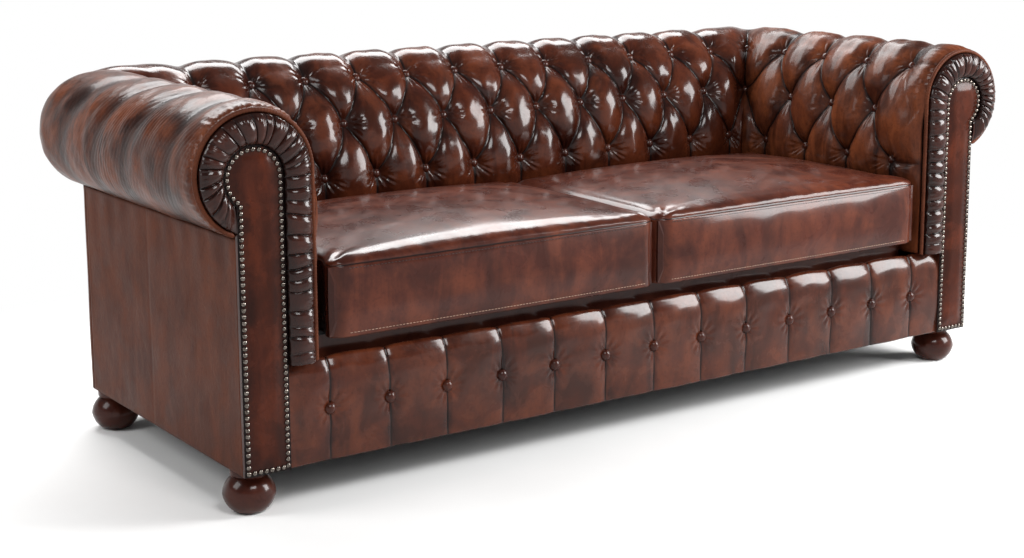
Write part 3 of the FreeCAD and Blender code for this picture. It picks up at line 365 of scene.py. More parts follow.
def plain(name, colour, roughness, scale=60, metallic=0.0, depth=0.0004):
    # a plain material with some cloud in its colour and a fine relief
    made = Finish(name, Metallic=metallic)
    cloud = made.noise(scale, 4, 0.6)
    darker = tuple(part * 0.6 for part in colour[:3]) + (1,)
    mixed = made.mix(made.between(cloud, 0.35, 0.65), darker, colour)
    fibre = made.noise(scale * 9, 3, 0.6)
    rough = made.between(cloud, 0.3, 0.7, roughness - 0.06, roughness + 0.06)
    return made.wire(Base_Color=mixed, Roughness=rough, Normal=made.bump(fibre, depth))


finishes = {
    "leather": cushionLeather,
    "outside_leather": outsideLeather,
    "facing_leather": facingLeather,
    "button_leather": buttonLeather,
    "nail_brass": nailMetal(),
    "frame_timber": plain("beech timber", (0.42, 0.27, 0.14, 1), 0.6, 12),
    "panel_board": plain("panel board", (0.30, 0.20, 0.11, 1), 0.75, 30),
    "foam": plain("foam", (0.62, 0.56, 0.38, 1), 0.9, 90, 0.0, 0.0012),
    "black_cloth": plain("black cloth", (0.018, 0.018, 0.02, 1), 0.85, 140, 0.0, 0.0006),
    "spring_steel": plain("spring steel", (0.35, 0.35, 0.36, 1), 0.35, 50, 1.0, 0.0001),
    "zip_tape": plain("zip tape", (0.03, 0.018, 0.014, 1), 0.8, 300, 0.0, 0.0005),
    "zip_metal": plain("zip metal", (0.4, 0.33, 0.22, 1), 0.3, 120, 1.0, 0.0001),
    "foot_wood": turnedWood(),
    "glide_plastic": plain("glide plastic", (0.02, 0.02, 0.02, 1), 0.5, 40),
}
print("materials made:", len(finishes) + 1)

# the record's materials name no nodes, so this table stays empty and every node wears the cushion leather
slotOfNode = {}
for material in frame["record"]["materials"]:
    for node in material.get("nodes", []):
        slotOfNode[node] = material["slot"]
for name, node in nodes.items():
    finish = finishes.get(slotOfNode.get(name, ""), cushionLeather)
    node.data.materials.clear()
    node.data.materials.append(finish)


# Tufted covers of the back and the arms

tufts = {
    "perUnit": 25,  # grid steps to a half pitch of the buttons, and to a row
    "tuckLevel": 0.300,
    "armTuckLevel": 0.274,
    "topRise": 0.075,  # button rows, from the roll's centre
    "middleDrop": 0.017,
    "lowDrop": 0.127,
    "topDepth": 0.102,  # button seats, inwards from the outer face
    "cornerTop": 0.110,
    "arm": {"low": 0.158, "middle": 0.144, "tuck": 0.160, "drop": 0.010},
    "back": {"low": 0.180, "middle": 0.155, "tuck": 0.184, "drop": 0.0},
    "firstArmColumn": 0.095,
    "foldRise": 0.010,  # folds stand this high halfway between two buttons
    "lean": 0.36,  # how far a puff hangs over the fold below it, to its height
    "spread": 0.108,  # from one fold to the next alike
    "rowRise": 0.110,
    "sharpness": 0.40,
    "dimple": 0.0125,
    "pucker": 0.0017,
    "wobble": 0.075,
    "cornerFill": 0.045,
    "puckerRing": (0.021, 0.0135),  # the puckers' distance from the button, and their reach
    "dimpleDepth": 0.92,  # share of the height that a button takes
    "waves": 0.0017,
    "creaseWidth": 0.0026,
    "drift": 0.55,  # past the crest the ridges sweep to the rear on their way down the outside
    "grooves": (0.0125, 0.0011),  # pitch and depth, on the outside of an arm's roll
    "gathers": (0.11, 0.0016, 0.008, 0.02),  # at an arm's front: pitch in rows, depth, place and reach
    "front": (0.154, 0.153, 0.151, 0.1118, 0.0855),  # there: depth at the tuck and the rows, and the top's rise
    "frontFlat": 0.02,  # the puffs rise from nothing over this length
    "frontDip": (0.0028, 0.006),  # depth and reach
    "slab": {"arm": 0.130, "back": 0.148, "corner": 0.125},  # depth of the hidden inner face
    "innerReach": 0.094,
    "armEdge": 0.0085,  # the arm covers begin this far behind the facings
}
tuckRow, topRow, lastRow = -1.75, 2, 5.65
rollRows = {"degrees": (90, 180, 251.23), "rows": (topRow, 2.7, 4.35, lastRow)}
puffRows = (-1.75, -1, -0.5, -0.25, 0, 0.5, 1, 1.5, 2, 2.15, 2.3, 2.5, 2.7, 3, 3.3, 3.7, 4.35, 5, 5.65)
puffHeights = (5, 10, 19, 24, 28, 31, 31, 30, 25, 21, 16.5, 12.5, 10.5, 7.5, 5.5, 4, 2.5, 1.5, 0)  # in mm


def coverForm(rows, tuck, low, middle, top, drop=0.0, rise=None, level=None):
    # depth from the outer face and height of the padding under the folds, at each row: a cubic up the face
    # through the three button rows, then round the roll, drawn in near the top buttons by a bell of 18 degrees
    rise = tufts["topRise"] if rise is None else rise
    start = math.degrees(math.atan2(rise, top - rollInset))
    drawn = rollRadius - math.hypot(rise, top - rollInset)
    stops = np.array([start + 9, start + 20, 82, 98, 112, 130, 155, 180, 205, 230, rollRows["degrees"][-1]])
    stopRows = np.interp(stops, (start, *rollRows["degrees"]), rollRows["rows"])
    reach = rollRadius - drawn * bell(stops - start, 18)
    turn = np.radians(stops)
    around = np.stack([rollInset + reach * np.cos(turn), rollHeight + reach * np.sin(turn)], 1)
    face = [
        (tuck, level or tufts["tuckLevel"]),
        (tuck - 0.001, rollHeight - 0.215),
        (low, rollHeight - tufts["lowDrop"] - drop),
        (middle, rollHeight - tufts["middleDrop"] - drop),
        (top, rollHeight + rise),
    ]
    knots = np.concatenate([[tuckRow, -1, 0, 1, topRow], stopRows])
    return smoothThrough(knots, np.concatenate([face, around]), rows)


def nearestButton(i, j, half, isArm, last):
    # distance and direction to the nearest button, and a number that is its own: the rows are staggered
    best = np.full(np.broadcast(i, j).shape, 9.0)
    angle, mark = best * 0, best * 0
    for row, first, end in ((0, 1, last), (1, 2, last + 1), (2, 1, last + 2)):
        odd = 1 - row % 2
        column = 2 * np.round((np.abs(i) - odd) / 2) + odd
        column = np.clip(column, first if isArm else odd, end) * np.where(i < 0, -1, 1)
        dx, dy = (i - column) * half, (j - row) * tufts["rowRise"]
        distance = np.hypot(dx, dy)
        nearer = distance < best
        best = np.where(nearer, distance, best)
        angle = np.where(nearer, np.arctan2(dy, dx), angle)
        mark = np.where(nearer, column * 2.4 + row * 1.7, mark)
    return best, angle, mark


def puffing(i, j, half, last, seed, isArm):
    # height of the puffs over the padding, how full a puff is and how near a fold lies: a product of two sines
    # to a power under 1. Folds run where p or q is whole: slanting between the rows, upright beyond them
    inner = np.clip(j, 0, topRow)
    p, q = (i + inner - 1) / 2, (i - inner - 1) / 2
    knot = np.abs(np.cos(np.pi * p) * np.cos(np.pi * q))
    sway = tufts["wobble"] * (1 - knot) * ripple(seed, i, j, 6, 0.9, 2.6)
    p, q = p + sway * 0.5, q - sway * 0.4
    a, b = np.abs(np.sin(np.pi * p)), np.abs(np.sin(np.pi * q))
    ahead = np.clip(1 - i, 0, 1) if isArm else i * 0
    if isArm:
        middle = np.abs(np.sin(np.pi * inner / 2))
        above = np.sin(np.pi / 2 * np.clip(np.maximum(j - topRow, -j) / 0.8, 0, 1))
        outside = (j > topRow) | (j < 0)
        sideways = np.sin(np.pi / 2 * ahead)
        a = np.where(i < 1, np.where(outside, sideways, middle), a)
        b = np.where(i < 1, np.where(outside, above, middle), b)
    power = tufts["sharpness"]
    upright = np.maximum(ease(np.maximum(j - 1.85, -j), 0, 0.35), ease(ahead, 0, 0.3))
    softer = ease(j, 2.3, 3.6) * 0.35
    power = power - 0.15 * upright + softer
    fullness = (a * b + 1e-9) ** power
    cellP, cellQ = np.floor(p).astype(int) + 40, np.floor(q).astype(int) + 40
    uneven = np.random.default_rng(seed).uniform(0.9, 1.08, (90, 90))[cellP, cellQ]
    atMitre = ease(last + 2 - np.abs(i), 0, 1.5)
    fullness = fullness * (1 + (uneven - 1) * atMitre)
    peak = smoothThrough(puffRows, np.array(puffHeights) / 1000, j)
    rise = np.minimum(tufts["foldRise"], peak) * (1 - knot**3)
    height = fullness * (peak - np.minimum(tufts["foldRise"], peak)) + rise
    distance, angle, mark = nearestButton(i, j, half, isArm, last)
    height *= (1 - tufts["dimpleDepth"] * bell(distance, tufts["dimple"]))
    ring, reach = tufts["puckerRing"]
    pucker = bell(distance - ring, reach) * np.clip(fullness * 1.6, 0, 1)
    rays = np.cos(13 * angle + mark * 5) + 0.7 * np.cos(19 * angle + mark * 9)
    height += tufts["pucker"] * pucker * rays
    waves = tufts["waves"] * ripple(seed + 1, i, j, 9, 0.35, 1.3)
    height += waves * np.clip(fullness, 0, 1) * ease(j, -1.5, 0)
    nearFold = np.minimum(np.abs(p - np.round(p)), np.abs(q - np.round(q))) * tufts["spread"]
    if isArm:
        nearFold = np.where(i < 1, np.abs(np.sin(np.pi * inner / 2)) * 0.06 + ahead * 0.004, nearFold)
    # crease marks the folds' sharp lines, where the leather paints shade
    crease = np.exp(-nearFold / tufts["creaseWidth"]) * ease(peak, 0.005, 0.02)
    return height, np.clip(fullness, 0, 1), crease


def aroundCorner(depth, share, lastAlong, outerLimit):
    # places a point along its run on the way from the last regular column to the mitre; outside the corner's
    # axis it goes straight and then round a quarter's half, inside it goes straight to the mitre
    pivot = outerLimit - cornerRadius
    reach = np.maximum(cornerRadius - depth, 1e-6)
    straight = pivot - lastAlong
    length = share * (straight + reach * math.pi / 4)
    turn = np.clip((length - straight) / reach, 0, math.pi / 4)
    outsideAlong = lastAlong + np.minimum(length, straight) + reach * np.sin(turn)
    outsideDepth = cornerRadius - reach * np.cos(turn)
    insideAlong = lastAlong + (outerLimit - depth - lastAlong) * share
    outside = depth < cornerRadius
    return np.where(outside, outsideAlong, insideAlong), np.where(outside, outsideDepth, depth)


def foldTriangles(rows, columns, cellRows, cellColumns):
    # two triangles to each quad, cut along the slant that the fold there takes
    r, c = np.meshgrid(np.arange(rows - 1), np.arange(columns - 1), indexing="ij")
    low, lowNext = r * columns + c, r * columns + c + 1
    high, highNext = low + columns, lowNext + columns
    rising = ((np.floor(cellRows) + np.floor(cellColumns)) % 2 != 0)[..., None]
    first = np.where(rising, np.stack([low, lowNext, highNext], -1), np.stack([low, lowNext, high], -1))
    second = np.where(rising, np.stack([low, highNext, high], -1), np.stack([lowNext, highNext, high], -1))
    return np.concatenate([first.reshape(-1, 3), second.reshape(-1, 3)])


def innerForm(slab, level):
    # the cover's hidden inner outline, from the lip under the roll back to the tuck
    turn = np.radians([249, 225, 200, 175, 150, 120, 90, 60, 32])
    reach = tufts["innerReach"]
    around = np.stack([rollInset + reach * np.cos(turn), rollHeight + reach * np.sin(turn)], 1)
    return np.concatenate([around, [(slab, rollHeight - 0.03), (slab, level)]])


def tuftedCover(name, isArm, hand=1):
    # the whole cover of an arm, or of the back from mitre to mitre: on a grid of rows and button columns the
    # puffs' height stands off the padding's form along its normal, and hangs over along its tangent
    steps = tufts["perUnit"]
    own, seed = (tufts["arm"], 11 if hand > 0 else 12) if isArm else (tufts["back"], 13)
    last = 7 if isArm else 11
    limit = rear if isArm else side
    if isArm:
        half = (limit - tufts["topDepth"] - front - tufts["firstArmColumn"]) / 8
        lastAlong = front + tufts["firstArmColumn"] + 6 * half
        start = 1 - (tufts["firstArmColumn"] - tufts["armEdge"]) / half
        whole = np.arange(math.ceil(start * steps + 0.3), (last + 2) * steps + 1)
        units = np.concatenate([[start], whole / steps])
    else:
        half = (side - tufts["topDepth"]) / 13
        lastAlong = last * half
        units = np.arange(-(last + 2) * steps, (last + 2) * steps + 1) / steps
    fineEnd = lastRow if isArm else 3  # the rear side of the back's roll takes fewer rows
    coarse = [lastRow] if isArm else np.linspace(fineEnd, lastRow, 30)
    rows = np.concatenate([np.arange(tuckRow * steps, fineEnd * steps) / steps, coarse])
    j, c = np.meshgrid(rows, units, indexing="ij")
    share = np.clip((np.abs(c) - last) / 2, 0, 1)
    furthest = last + 1 + np.clip(j - 1, 0, 1)
    i = np.where(np.abs(c) <= last, c, np.sign(c) * (last + (np.abs(c) - last) * (furthest - last) / 2))

    tuckLevel = tufts["armTuckLevel"] if isArm else tufts["tuckLevel"]
    form = coverForm(rows, own["tuck"], own["low"], own["middle"], tufts["topDepth"], own["drop"],
                     level=tuckLevel)
    mean = {key: (tufts["arm"][key] + tufts["back"][key]) / 2 for key in own}
    cornerForm = coverForm(rows, mean["tuck"], mean["low"], mean["middle"], tufts["cornerTop"], mean["drop"])
    base = form[:, None] + (cornerForm - form)[:, None] * share[..., None]
    alongFront = np.maximum((c - units[0]) * half, 0) if isArm else c * 0 + 1
    if isArm:
        *frontDepths, frontRise = tufts["front"]
        frontForm = coverForm(rows, *frontDepths, own["drop"], frontRise, tuckLevel)
        forward = ease(1 - c, 0, 1 - units[0])
        base = base + (frontForm[:, None] - base) * forward[..., None]

    drift = tufts["drift"] * np.maximum(j - 2.7, 0) * ease(alongFront, 0, 0.3) * (1 - share) if isArm else 0
    height, fullness, crease = puffing(i - drift, j, half, last, seed, isArm)
    if isArm:
        depth, reach = tufts["frontDip"]
        height *= (1 - np.exp(-alongFront / tufts["frontFlat"]))
        height -= depth * bell(alongFront, reach) * ease(j, 1.2, 2)
        pitch, depth, place, reach = tufts["gathers"]
        gathers = np.sin(j * 2 * math.pi / pitch + 2.4 * ripple(seed + 5, j, j * 0, 4, 0.2, 0.9))
        height += depth * gathers * bell(alongFront - place, reach) * ease(j, 1, 1.5)
        pitch, depth = tufts["grooves"]
        sweep = alongFront - 0.05 * (j - 2.7) + 0.008 * ripple(seed + 6, alongFront * 14, j * 1.2, 6, 0.8, 2.5)
        uneven = 0.6 + 0.5 * ripple(seed + 7, alongFront * 9, j * 2, 5)
        grooves = (1 - np.abs(np.sin(math.pi * sweep / pitch))) ** 3 * uneven
        height -= depth * grooves * ease(j, 2.6, 3.2) * (1 - share)
        # a painted shade line along the arm cover's front edge
        crease = np.maximum(crease, 0.7 * np.exp(-alongFront / 0.0015))
    # the low puffs meet at the mitre in a fillet: a quarter round over what is spare before it
    fill = tufts["cornerFill"]
    spare = (limit - mean["low"] - lastAlong) * (1 - share) + 0.29 * fill
    bridge = fill - np.sqrt(np.maximum(fill**2 - np.maximum(fill - spare, 0) ** 2, 0))
    height += bridge * ease(1 - j, 0, 0.6) * ease(j, -1.6, -0.5) * (share > 0)

    tangent = np.gradient(base, rows, axis=0)
    tangent = tangent / np.linalg.norm(tangent, axis=2, keepdims=True)
    normal = np.stack([tangent[..., 1], -tangent[..., 0]], -1)
    lean = tufts["lean"] * ease(j, 3.0, 1.8) * ease(j, -1.2, -0.2)
    skin = base + normal * height[..., None] - tangent * (lean * height)[..., None]

    inner = innerForm(tufts["slab"]["arm" if isArm else "back"], tuckLevel)
    cornerInner = innerForm(tufts["slab"]["corner"], tufts["tuckLevel"])
    innerShare = share[:1].repeat(len(inner), 0)
    lining = inner[:, None] + (cornerInner - inner)[:, None] * innerShare[..., None]
    loop = np.concatenate([skin, lining])
    columns = np.broadcast_to(units, loop.shape[:2])
    regular = lastAlong - (last - (columns if isArm else np.abs(columns))) * half
    cornerAlong, depth = aroundCorner(loop[..., 0], np.concatenate([share, innerShare]), lastAlong, limit)
    atCorner = np.abs(columns) > last
    along = np.where(atCorner, cornerAlong, regular)
    depth = np.where(atCorner, depth, loop[..., 0])
    if isArm:
        points = np.stack([(side - depth) * hand, along, loop[..., 1]], -1)
    else:
        points = np.stack([along * np.where(columns < 0, -1, 1), rear - depth, loop[..., 1]], -1)

    count, width = loop.shape[:2]
    cellRows = (j[:-1, :-1] + j[1:, 1:]) / 2
    cellColumns = (i[:-1, :-1] + i[:-1, 1:]) / 2
    triangles = foldTriangles(len(rows), width, cellRows, cellColumns)
    quads = gridFaces(count, width, wrapRows=True)
    quads = quads[(quads[:, 0] >= (len(rows) - 1) * width)]
    # crown darkens the low folds as painted shade and warms the crests; crease paints shade along the fold
    # lines
    attributes = {"crown": behind(fullness, len(inner)), "crease": behind(crease, len(inner))}
    piece = makePiece(name, points, [triangles, quads, *endCaps(count, width)],
                      rollLeather if isArm else coverLeather, attributes=attributes)
    return piece


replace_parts(tuftedCover("back_cover_tufted", False), "inside_back_cover")
for hand, word in hands:
    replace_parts(tuftedCover(f"arm_cover_tufted_{word}", True, hand), f"inside_arm_cover_{word}")
print("tufted covers made")


# Seat cushions

cushion = {
    "rim": 0.014,  # quick rise of the top just inside its seam, then the slow one
    "crown": 0.031,
    "rimReach": 0.045,
    "edge": 0.436,  # level of the top seam
    "bulge": 0.012,
    "draw": 0.024,  # the outer side stands clear of the arm's puffs
    "cornerRound": 0.036,
    "seamDepth": 0.0022,
    "stitch": (0.0052, 0.0072, 0.0007),  # length, pitch and radius
    "cornerFolds": (0.0022, 0.045, 0.03),  # height, distance from the corner and reach
    "edgeFolds": (0.0008, 0.014, 0.012, 0.045),  # height, distance from the seam, reach and pitch
    "waves": 0.0014,
    "crumple": 0.0008,
    "overhang": 0.0035,  # of the top's front rim
}


def spaced(low, high, count, reach=0.045, fine=16):
    # close steps near both ends, closest at the seams, and wide ones between
    near = reach * np.linspace(0, 1, fine) ** 1.4
    between = np.linspace(low + reach, high - reach, count)[1:-1]
    return np.concatenate([low + near, between, (high - near)[::-1]])


def boxShell(xs, ys, zs):
    # points and quads of a box's surface on three lists of places
    counts = np.array([len(xs), len(ys), len(zs)])
    lattice = np.stack(np.meshgrid(*[np.arange(n) for n in counts], indexing="ij"), -1).reshape(-1, 3)
    onSkin = ((lattice == 0) | (lattice == counts - 1)).any(1)
    number = np.full(len(lattice), -1)
    number[onSkin] = np.arange(onSkin.sum())
    number = number.reshape(counts)
    places = lattice[onSkin]
    quads = []
    for axis in range(3):
        for end in (0, counts[axis] - 1):
            sheet = np.take(number, end, axis)
            block = np.stack([sheet[:-1, :-1], sheet[1:, :-1], sheet[1:, 1:], sheet[:-1, 1:]], -1)
            block = block.reshape(-1, 4)
            quads.append(block[:, ::-1] if (end == 0) == (axis != 1) else block)
    points = np.stack([xs[places[:, 0]], ys[places[:, 1]], zs[places[:, 2]]], 1)
    return points, np.concatenate(quads), places, counts


def frontBulge(u, w):
    # how far the front wall stands out: a full arch up the wall, dying at the corners
    return cushion["bulge"] * np.sin(np.pi * np.clip(w, 0, 1)) ** 0.7 * np.clip(1 - u**6, 0, 1)


def seatCushion(hand, word):
    # a crowned box with round upright corners: the top rises in a quarter ellipse from its seam and then slowly
    # to the middle, the front wall bulges, and wrinkles gather at the corners and the seams
    frontY = cushionLow.y - 0.0005
    xs = spaced(cushionLow.x - 0.0024, cushionHigh.x, 58)
    ys = spaced(frontY, cushionHigh.y, 40)
    zs = spaced(cushionLow.z, cushion["edge"], 12, 0.02, 8)
    points, quads, places, counts = boxShell(xs, ys, zs)
    halfX, halfY = (xs[-1] - xs[0]) / 2, (ys[-1] - ys[0]) / 2
    centreX, centreY = (xs[0] + xs[-1]) / 2, (ys[0] + ys[-1]) / 2
    u, v = (points[:, 0] - centreX) / halfX, (points[:, 1] - centreY) / halfY
    w = (points[:, 2] - zs[0]) / (zs[-1] - zs[0])
    onTop, onBottom = places[:, 2] == counts[2] - 1, places[:, 2] == 0
    atSide, atFront, atRear = np.abs(u) > 0.99999, v < -0.99999, v > 0.99999
    du, dv = (1 - np.abs(u)) * halfX, (1 - np.abs(v)) * halfY
    rims = [np.sqrt(1 - (1 - np.clip(inwards / cushion["rimReach"], 0, 1)) ** 2) for inwards in (du, dv)]
    slow = (np.clip(1 - np.abs(u) ** 2.2, 0, 1) * np.clip(1 - np.abs(v) ** 2.2, 0, 1)) ** 0.8
    lift = cushion["rim"] * rims[0] * rims[1] + cushion["crown"] * slow
    lift += cushion["waves"] * ripple(31 + hand, u * 3, v * 2, 7, 0.8, 2.2) * slow
    tall, away, reach = cushion["cornerFolds"]
    bearing = np.arctan2(du + 0.002, dv + 0.002)
    nearCorner = bell(np.hypot(du, dv) - away, reach) * rims[0] * rims[1]
    lift += tall * np.sin(bearing * 9 + 2 * hand) * nearCorner
    tall, away, reach, pitch = cushion["edgeFolds"]
    edgeFolds = np.sin(points[:, 0] * 2 * math.pi / pitch + 3 * ripple(35, u * 9, v, 4))
    lift += tall * edgeFolds * bell(np.minimum(du, dv) - away, reach)
    points[:, 2] += np.where(onTop, lift, 0) + np.where(onBottom, 0.004 * (1 - rims[0] * rims[1]), 0)
    moveX, moveY = roundCorner(np.abs(u) * halfX - halfX, np.abs(v) * halfY - halfY, cushion["cornerRound"])
    points[:, 0] -= np.sign(u) * moveX
    points[:, 1] -= np.sign(v) * moveY
    arch = np.sin(np.pi * np.clip(w, 0, 1))
    crumple = cushion["crumple"] * ripple(33 + hand, points[:, 0] * 16, points[:, 2] * 22, 7, 0.8, 2.5) * arch
    points[:, 1] -= np.where(atFront, frontBulge(u, w) + crumple, 0)
    overhang = cushion["overhang"] * np.sin(np.pi * np.clip(dv / 0.03, 0, 1)) * rims[0]
    points[:, 1] -= np.where(onTop & (v < 0), overhang, 0)
    points[:, 0] += np.where(atSide, np.sign(u) * 0.0006 * arch, 0)
    points[:, 0] -= cushion["draw"] * ease(u, -1, 1) * ease(points[:, 1], ys[0] + 0.004, ys[0] + 0.075)
    seams = (onTop | onBottom) & (atSide | atFront | atRear)
    points[:, 0] -= np.sign(u) * atSide * cushion["seamDepth"] * seams * 0.7
    points[:, 1] -= np.sign(v) * (atFront | atRear) * cushion["seamDepth"] * seams
    points[:, 2] -= cushion["seamDepth"] * 0.5 * (seams & onTop)
    points[:, 0] *= hand
    # crease paints shade along the seams; crown is even over the cushion
    attributes = {"crease": np.where(seams, 1.0, 0.0), "crown": np.full(len(points), 0.62)}
    piece = makePiece(f"cushion_{word}", points, quads, cushionLeather, f"seat_cushion_{word}",
                      attributes=attributes)
    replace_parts(piece, f"cushion_cover_{word}")
    for label, level, finish in (("top", 0.955, darkThread), ("hem", 0.07, paleThread)):
        stitchRow(f"stitches_{label}_{word}", hand, word, centreX, halfX, frontY, level, finish)


def capsules(centres, length, radius, rings=5, sides=6):
    # a thin rounded rod along x at each centre: rings whose radius follows a half sine to the power 0.4
    along = np.linspace(0, 1, rings)
    reach = radius * np.sin(np.pi * (along * 0.9 + 0.05)) ** 0.4
    turn = np.linspace(0, 2 * math.pi, sides + 1)[:-1]
    x = np.broadcast_to((along - 0.5)[:, None] * length, (rings, sides))
    y, z = reach[:, None] * np.cos(turn), reach[:, None] * np.sin(turn)
    points = centres[:, None, :] + np.stack([x, y, z], -1).reshape(1, -1, 3)
    quads = gridFaces(rings, sides, wrapColumns=True)
    caps = np.stack([np.arange(sides)[::-1], np.arange(sides) + (rings - 1) * sides])
    offsets = (np.arange(len(centres)) * rings * sides)[:, None, None]
    return points.reshape(-1, 3), [(quads + offsets).reshape(-1, 4), (caps + offsets).reshape(-1, sides)]


def stitchRow(name, hand, word, centreX, halfX, frontY, level, finish):
    # stitches along the front wall, just off its surface
    length, pitch, radius = cushion["stitch"]
    reach = halfX - cushion["cornerRound"]
    x = np.arange(-reach, reach, pitch)
    u = x / halfX
    y = frontY - frontBulge(u, level) - radius * 0.4
    z = cushionLow.z + level * (cushion["edge"] - cushionLow.z)
    points, faces = capsules(np.stack([(centreX + x) * hand, y, x * 0 + z], -1), length, radius)
    makePiece(name, points, faces, finish, f"seat_cushion_{word}")


darkThread = plain("dark thread", (0.012, 0.006, 0.005, 1), 0.6, 300)
paleThread = plain("pale thread", (0.42, 0.27, 0.19, 1), 0.6, 300)
for hand, word in hands:
    seatCushion(hand, word)
print("cushions made")


# Front rail

rail = {
    "pleats": 6,  # on each side of the middle one
    "span": 0.747,  # from the middle pleat to the last
    "buttonLevel": 0.177,
    "puff": 0.0085,
    "steps": (1100, 70),
    "wander": 0.0022,
    "dimple": (0.004, 0.016),  # depth and reach round a button
    "rays": (0.0009, 0.022, 0.012),  # height, distance from the button and reach
    "waves": 0.0012,
    "creaseWidth": 0.002,
}


def frontRail():
    # a padded rail: a cubic profile from its foot over its nose, with upright pleats on whole pitches, a button
    # on each, and panels between them that swell as a sine to the power 0.27
    pitch = rail["span"] / rail["pleats"]
    across = np.linspace(-railHigh.x, railHigh.x, rail["steps"][0])
    nose = railHigh.z - footTop
    profile = [(0.0065, 0), (0.0045, 0.02), (0.003, 0.06), (0.003, 0.12), (0.005, 0.155), (0.0125, 0.176),
               (0.024, nose), (0.036, nose - 0.004), (0.0455, nose - 0.012)]
    knots = np.array([0, 0.09, 0.27, 0.52, 0.68, 0.79, 0.88, 0.94, 1.0])
    rows = np.linspace(0, 1, rail["steps"][1])
    line = smoothThrough(knots, profile, rows)
    t, x = np.meshgrid(rows, across, indexing="ij")
    wander = rail["wander"] * ripple(41, x * 20, t * 3, 5, 1.5, 5)
    fold = np.abs(np.sin(np.pi * (x + wander * (1 - bell(t - 0.48, 0.1))) / pitch))
    fullness = fold**0.27
    depth = rail["puff"] * ease(t, -0.12, 0.15) * (1 - 0.45 * ease(t, 0.85, 1))
    height = (fullness - 1) * depth
    z = footTop + line[:, 1][:, None] + x * 0
    nearest = np.round(x / pitch) * pitch
    distance = np.hypot(x - nearest, (z - rail["buttonLevel"]))
    deep, reach = rail["dimple"]
    height -= deep * bell(distance, reach)
    tall, away, reach = rail["rays"]
    angle = np.arctan2(z - rail["buttonLevel"], x - nearest)
    rays = np.cos(11 * angle + nearest * 37) * bell(distance - away, reach)
    height = height + tall * rays + rail["waves"] * ripple(42, x * 24, t * 4, 7, 1.0, 3.5) * fullness
    tangent = np.gradient(line, rows, axis=0)
    tangent = tangent / np.linalg.norm(tangent, axis=1, keepdims=True)
    outY = line[:, 0][:, None] - tangent[:, 1][:, None] * height
    outZ = line[:, 1][:, None] + tangent[:, 0][:, None] * height
    points = np.stack([x, front + outY, footTop + outZ], -1)
    backs = np.array([(0.0455, nose - 0.02), (0.0145, nose - 0.021), (0.0145, 0.0)])
    lining = np.stack([np.broadcast_to(values, (3, len(across))) for values in
                       (across, front + backs[:, :1], footTop + backs[:, 1:])], -1)
    # painted shade: crease darkens the pleat lines, and crown darkens the panels towards them
    crease = np.exp(-fold * pitch / math.pi / rail["creaseWidth"])
    piece = makeBar("front_rail_pleated", np.concatenate([points, lining]), coverLeather,
                    {"crown": behind(fullness, 3), "crease": behind(crease, 3)})
    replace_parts(piece, "front_rail_cover")


frontRail()
print("front rail made")


# Arm fronts: gathered border, piping and facing

armFront = {
    "headRadius": 0.057,
    "headDrop": 0.006,
    "borderReach": 0.1055,
    "nose": 0.0185,
    "pleat": 0.0066,
    "pitch": 0.036,  # longest step between two gathers
    "lip": (0.0009, 0.0032, 0.0016),  # beside each crease: height, distance and reach
    "fine": (0.0005, 0.0095),  # small pleats at the outer edge: height and pitch
    "creaseWidth": 0.0011,
    "backDepth": 0.0098,
    "nail": (0.0047, 0.0036, 0.0113),  # radius, height and pitch
    "nailInset": 0.0068,
    "piping": 0.0045,
    "pipingGathers": (0.05, 0.006),  # share of its thickness, and pitch
    "clear": 0.0006,  # between one layer and the next
    "domes": ((0.0042, 0.008, 0.034), (0.0006, 0.0, 0.006)),  # rise, its start and its end inside the edge
    "wave": 0.0004,
    # reach of the painted shade along the facing's edge, under the nails
    "edgeShadeReach": 0.0055,
}
headX = facingLow.x + armFront["headRadius"]
headZ = rollHeight - armFront["headDrop"]
rollX = side - rollInset
stemLow = railHigh.z + armFront["clear"]


def borderEdges(path):
    # inner and outer edge of the border at each share of its way, and its length: straight up the stem, then
    # round the head on two circles
    stem = rollHeight - stemLow
    end = math.degrees(math.acos(rollInset / (armFront["borderReach"] + 0.001)))
    sweep = math.radians(180 + end)
    turnLength = armFront["borderReach"] * sweep
    total = stem + turnLength
    length = path * total
    onStem = length < stem
    turn = np.clip((length - stem) / turnLength, 0, 1)
    outerAngle = math.pi - sweep * turn
    innerAngle = math.pi - math.radians(230) * turn
    z = stemLow + np.minimum(length, stem)
    reach = armFront["headRadius"] + armFront["clear"]
    stemInner = np.stack([facingLow.x - armFront["clear"] + z * 0, np.minimum(z, headZ)], -1)
    headInner = np.stack([headX + reach * np.cos(innerAngle), headZ + reach * np.sin(innerAngle)], -1)
    stemOuter = np.stack([rollX - armFront["borderReach"] + z * 0, z], -1)
    headOuter = np.stack([rollX + armFront["borderReach"] * np.cos(outerAngle),
                          rollHeight + armFront["borderReach"] * np.sin(outerAngle)], -1)
    pick = onStem[..., None]
    return np.where(pick, stemInner, headInner), np.where(pick, stemOuter, headOuter), total


def gatherPlaces(seed, total, longest):
    # uneven places of the gathers along a length: a seeded walk
    draw = np.random.default_rng(seed)
    steps = draw.uniform(0.5, 1.0, 400) * longest
    places = np.cumsum(steps) - longest
    return places[places < total]


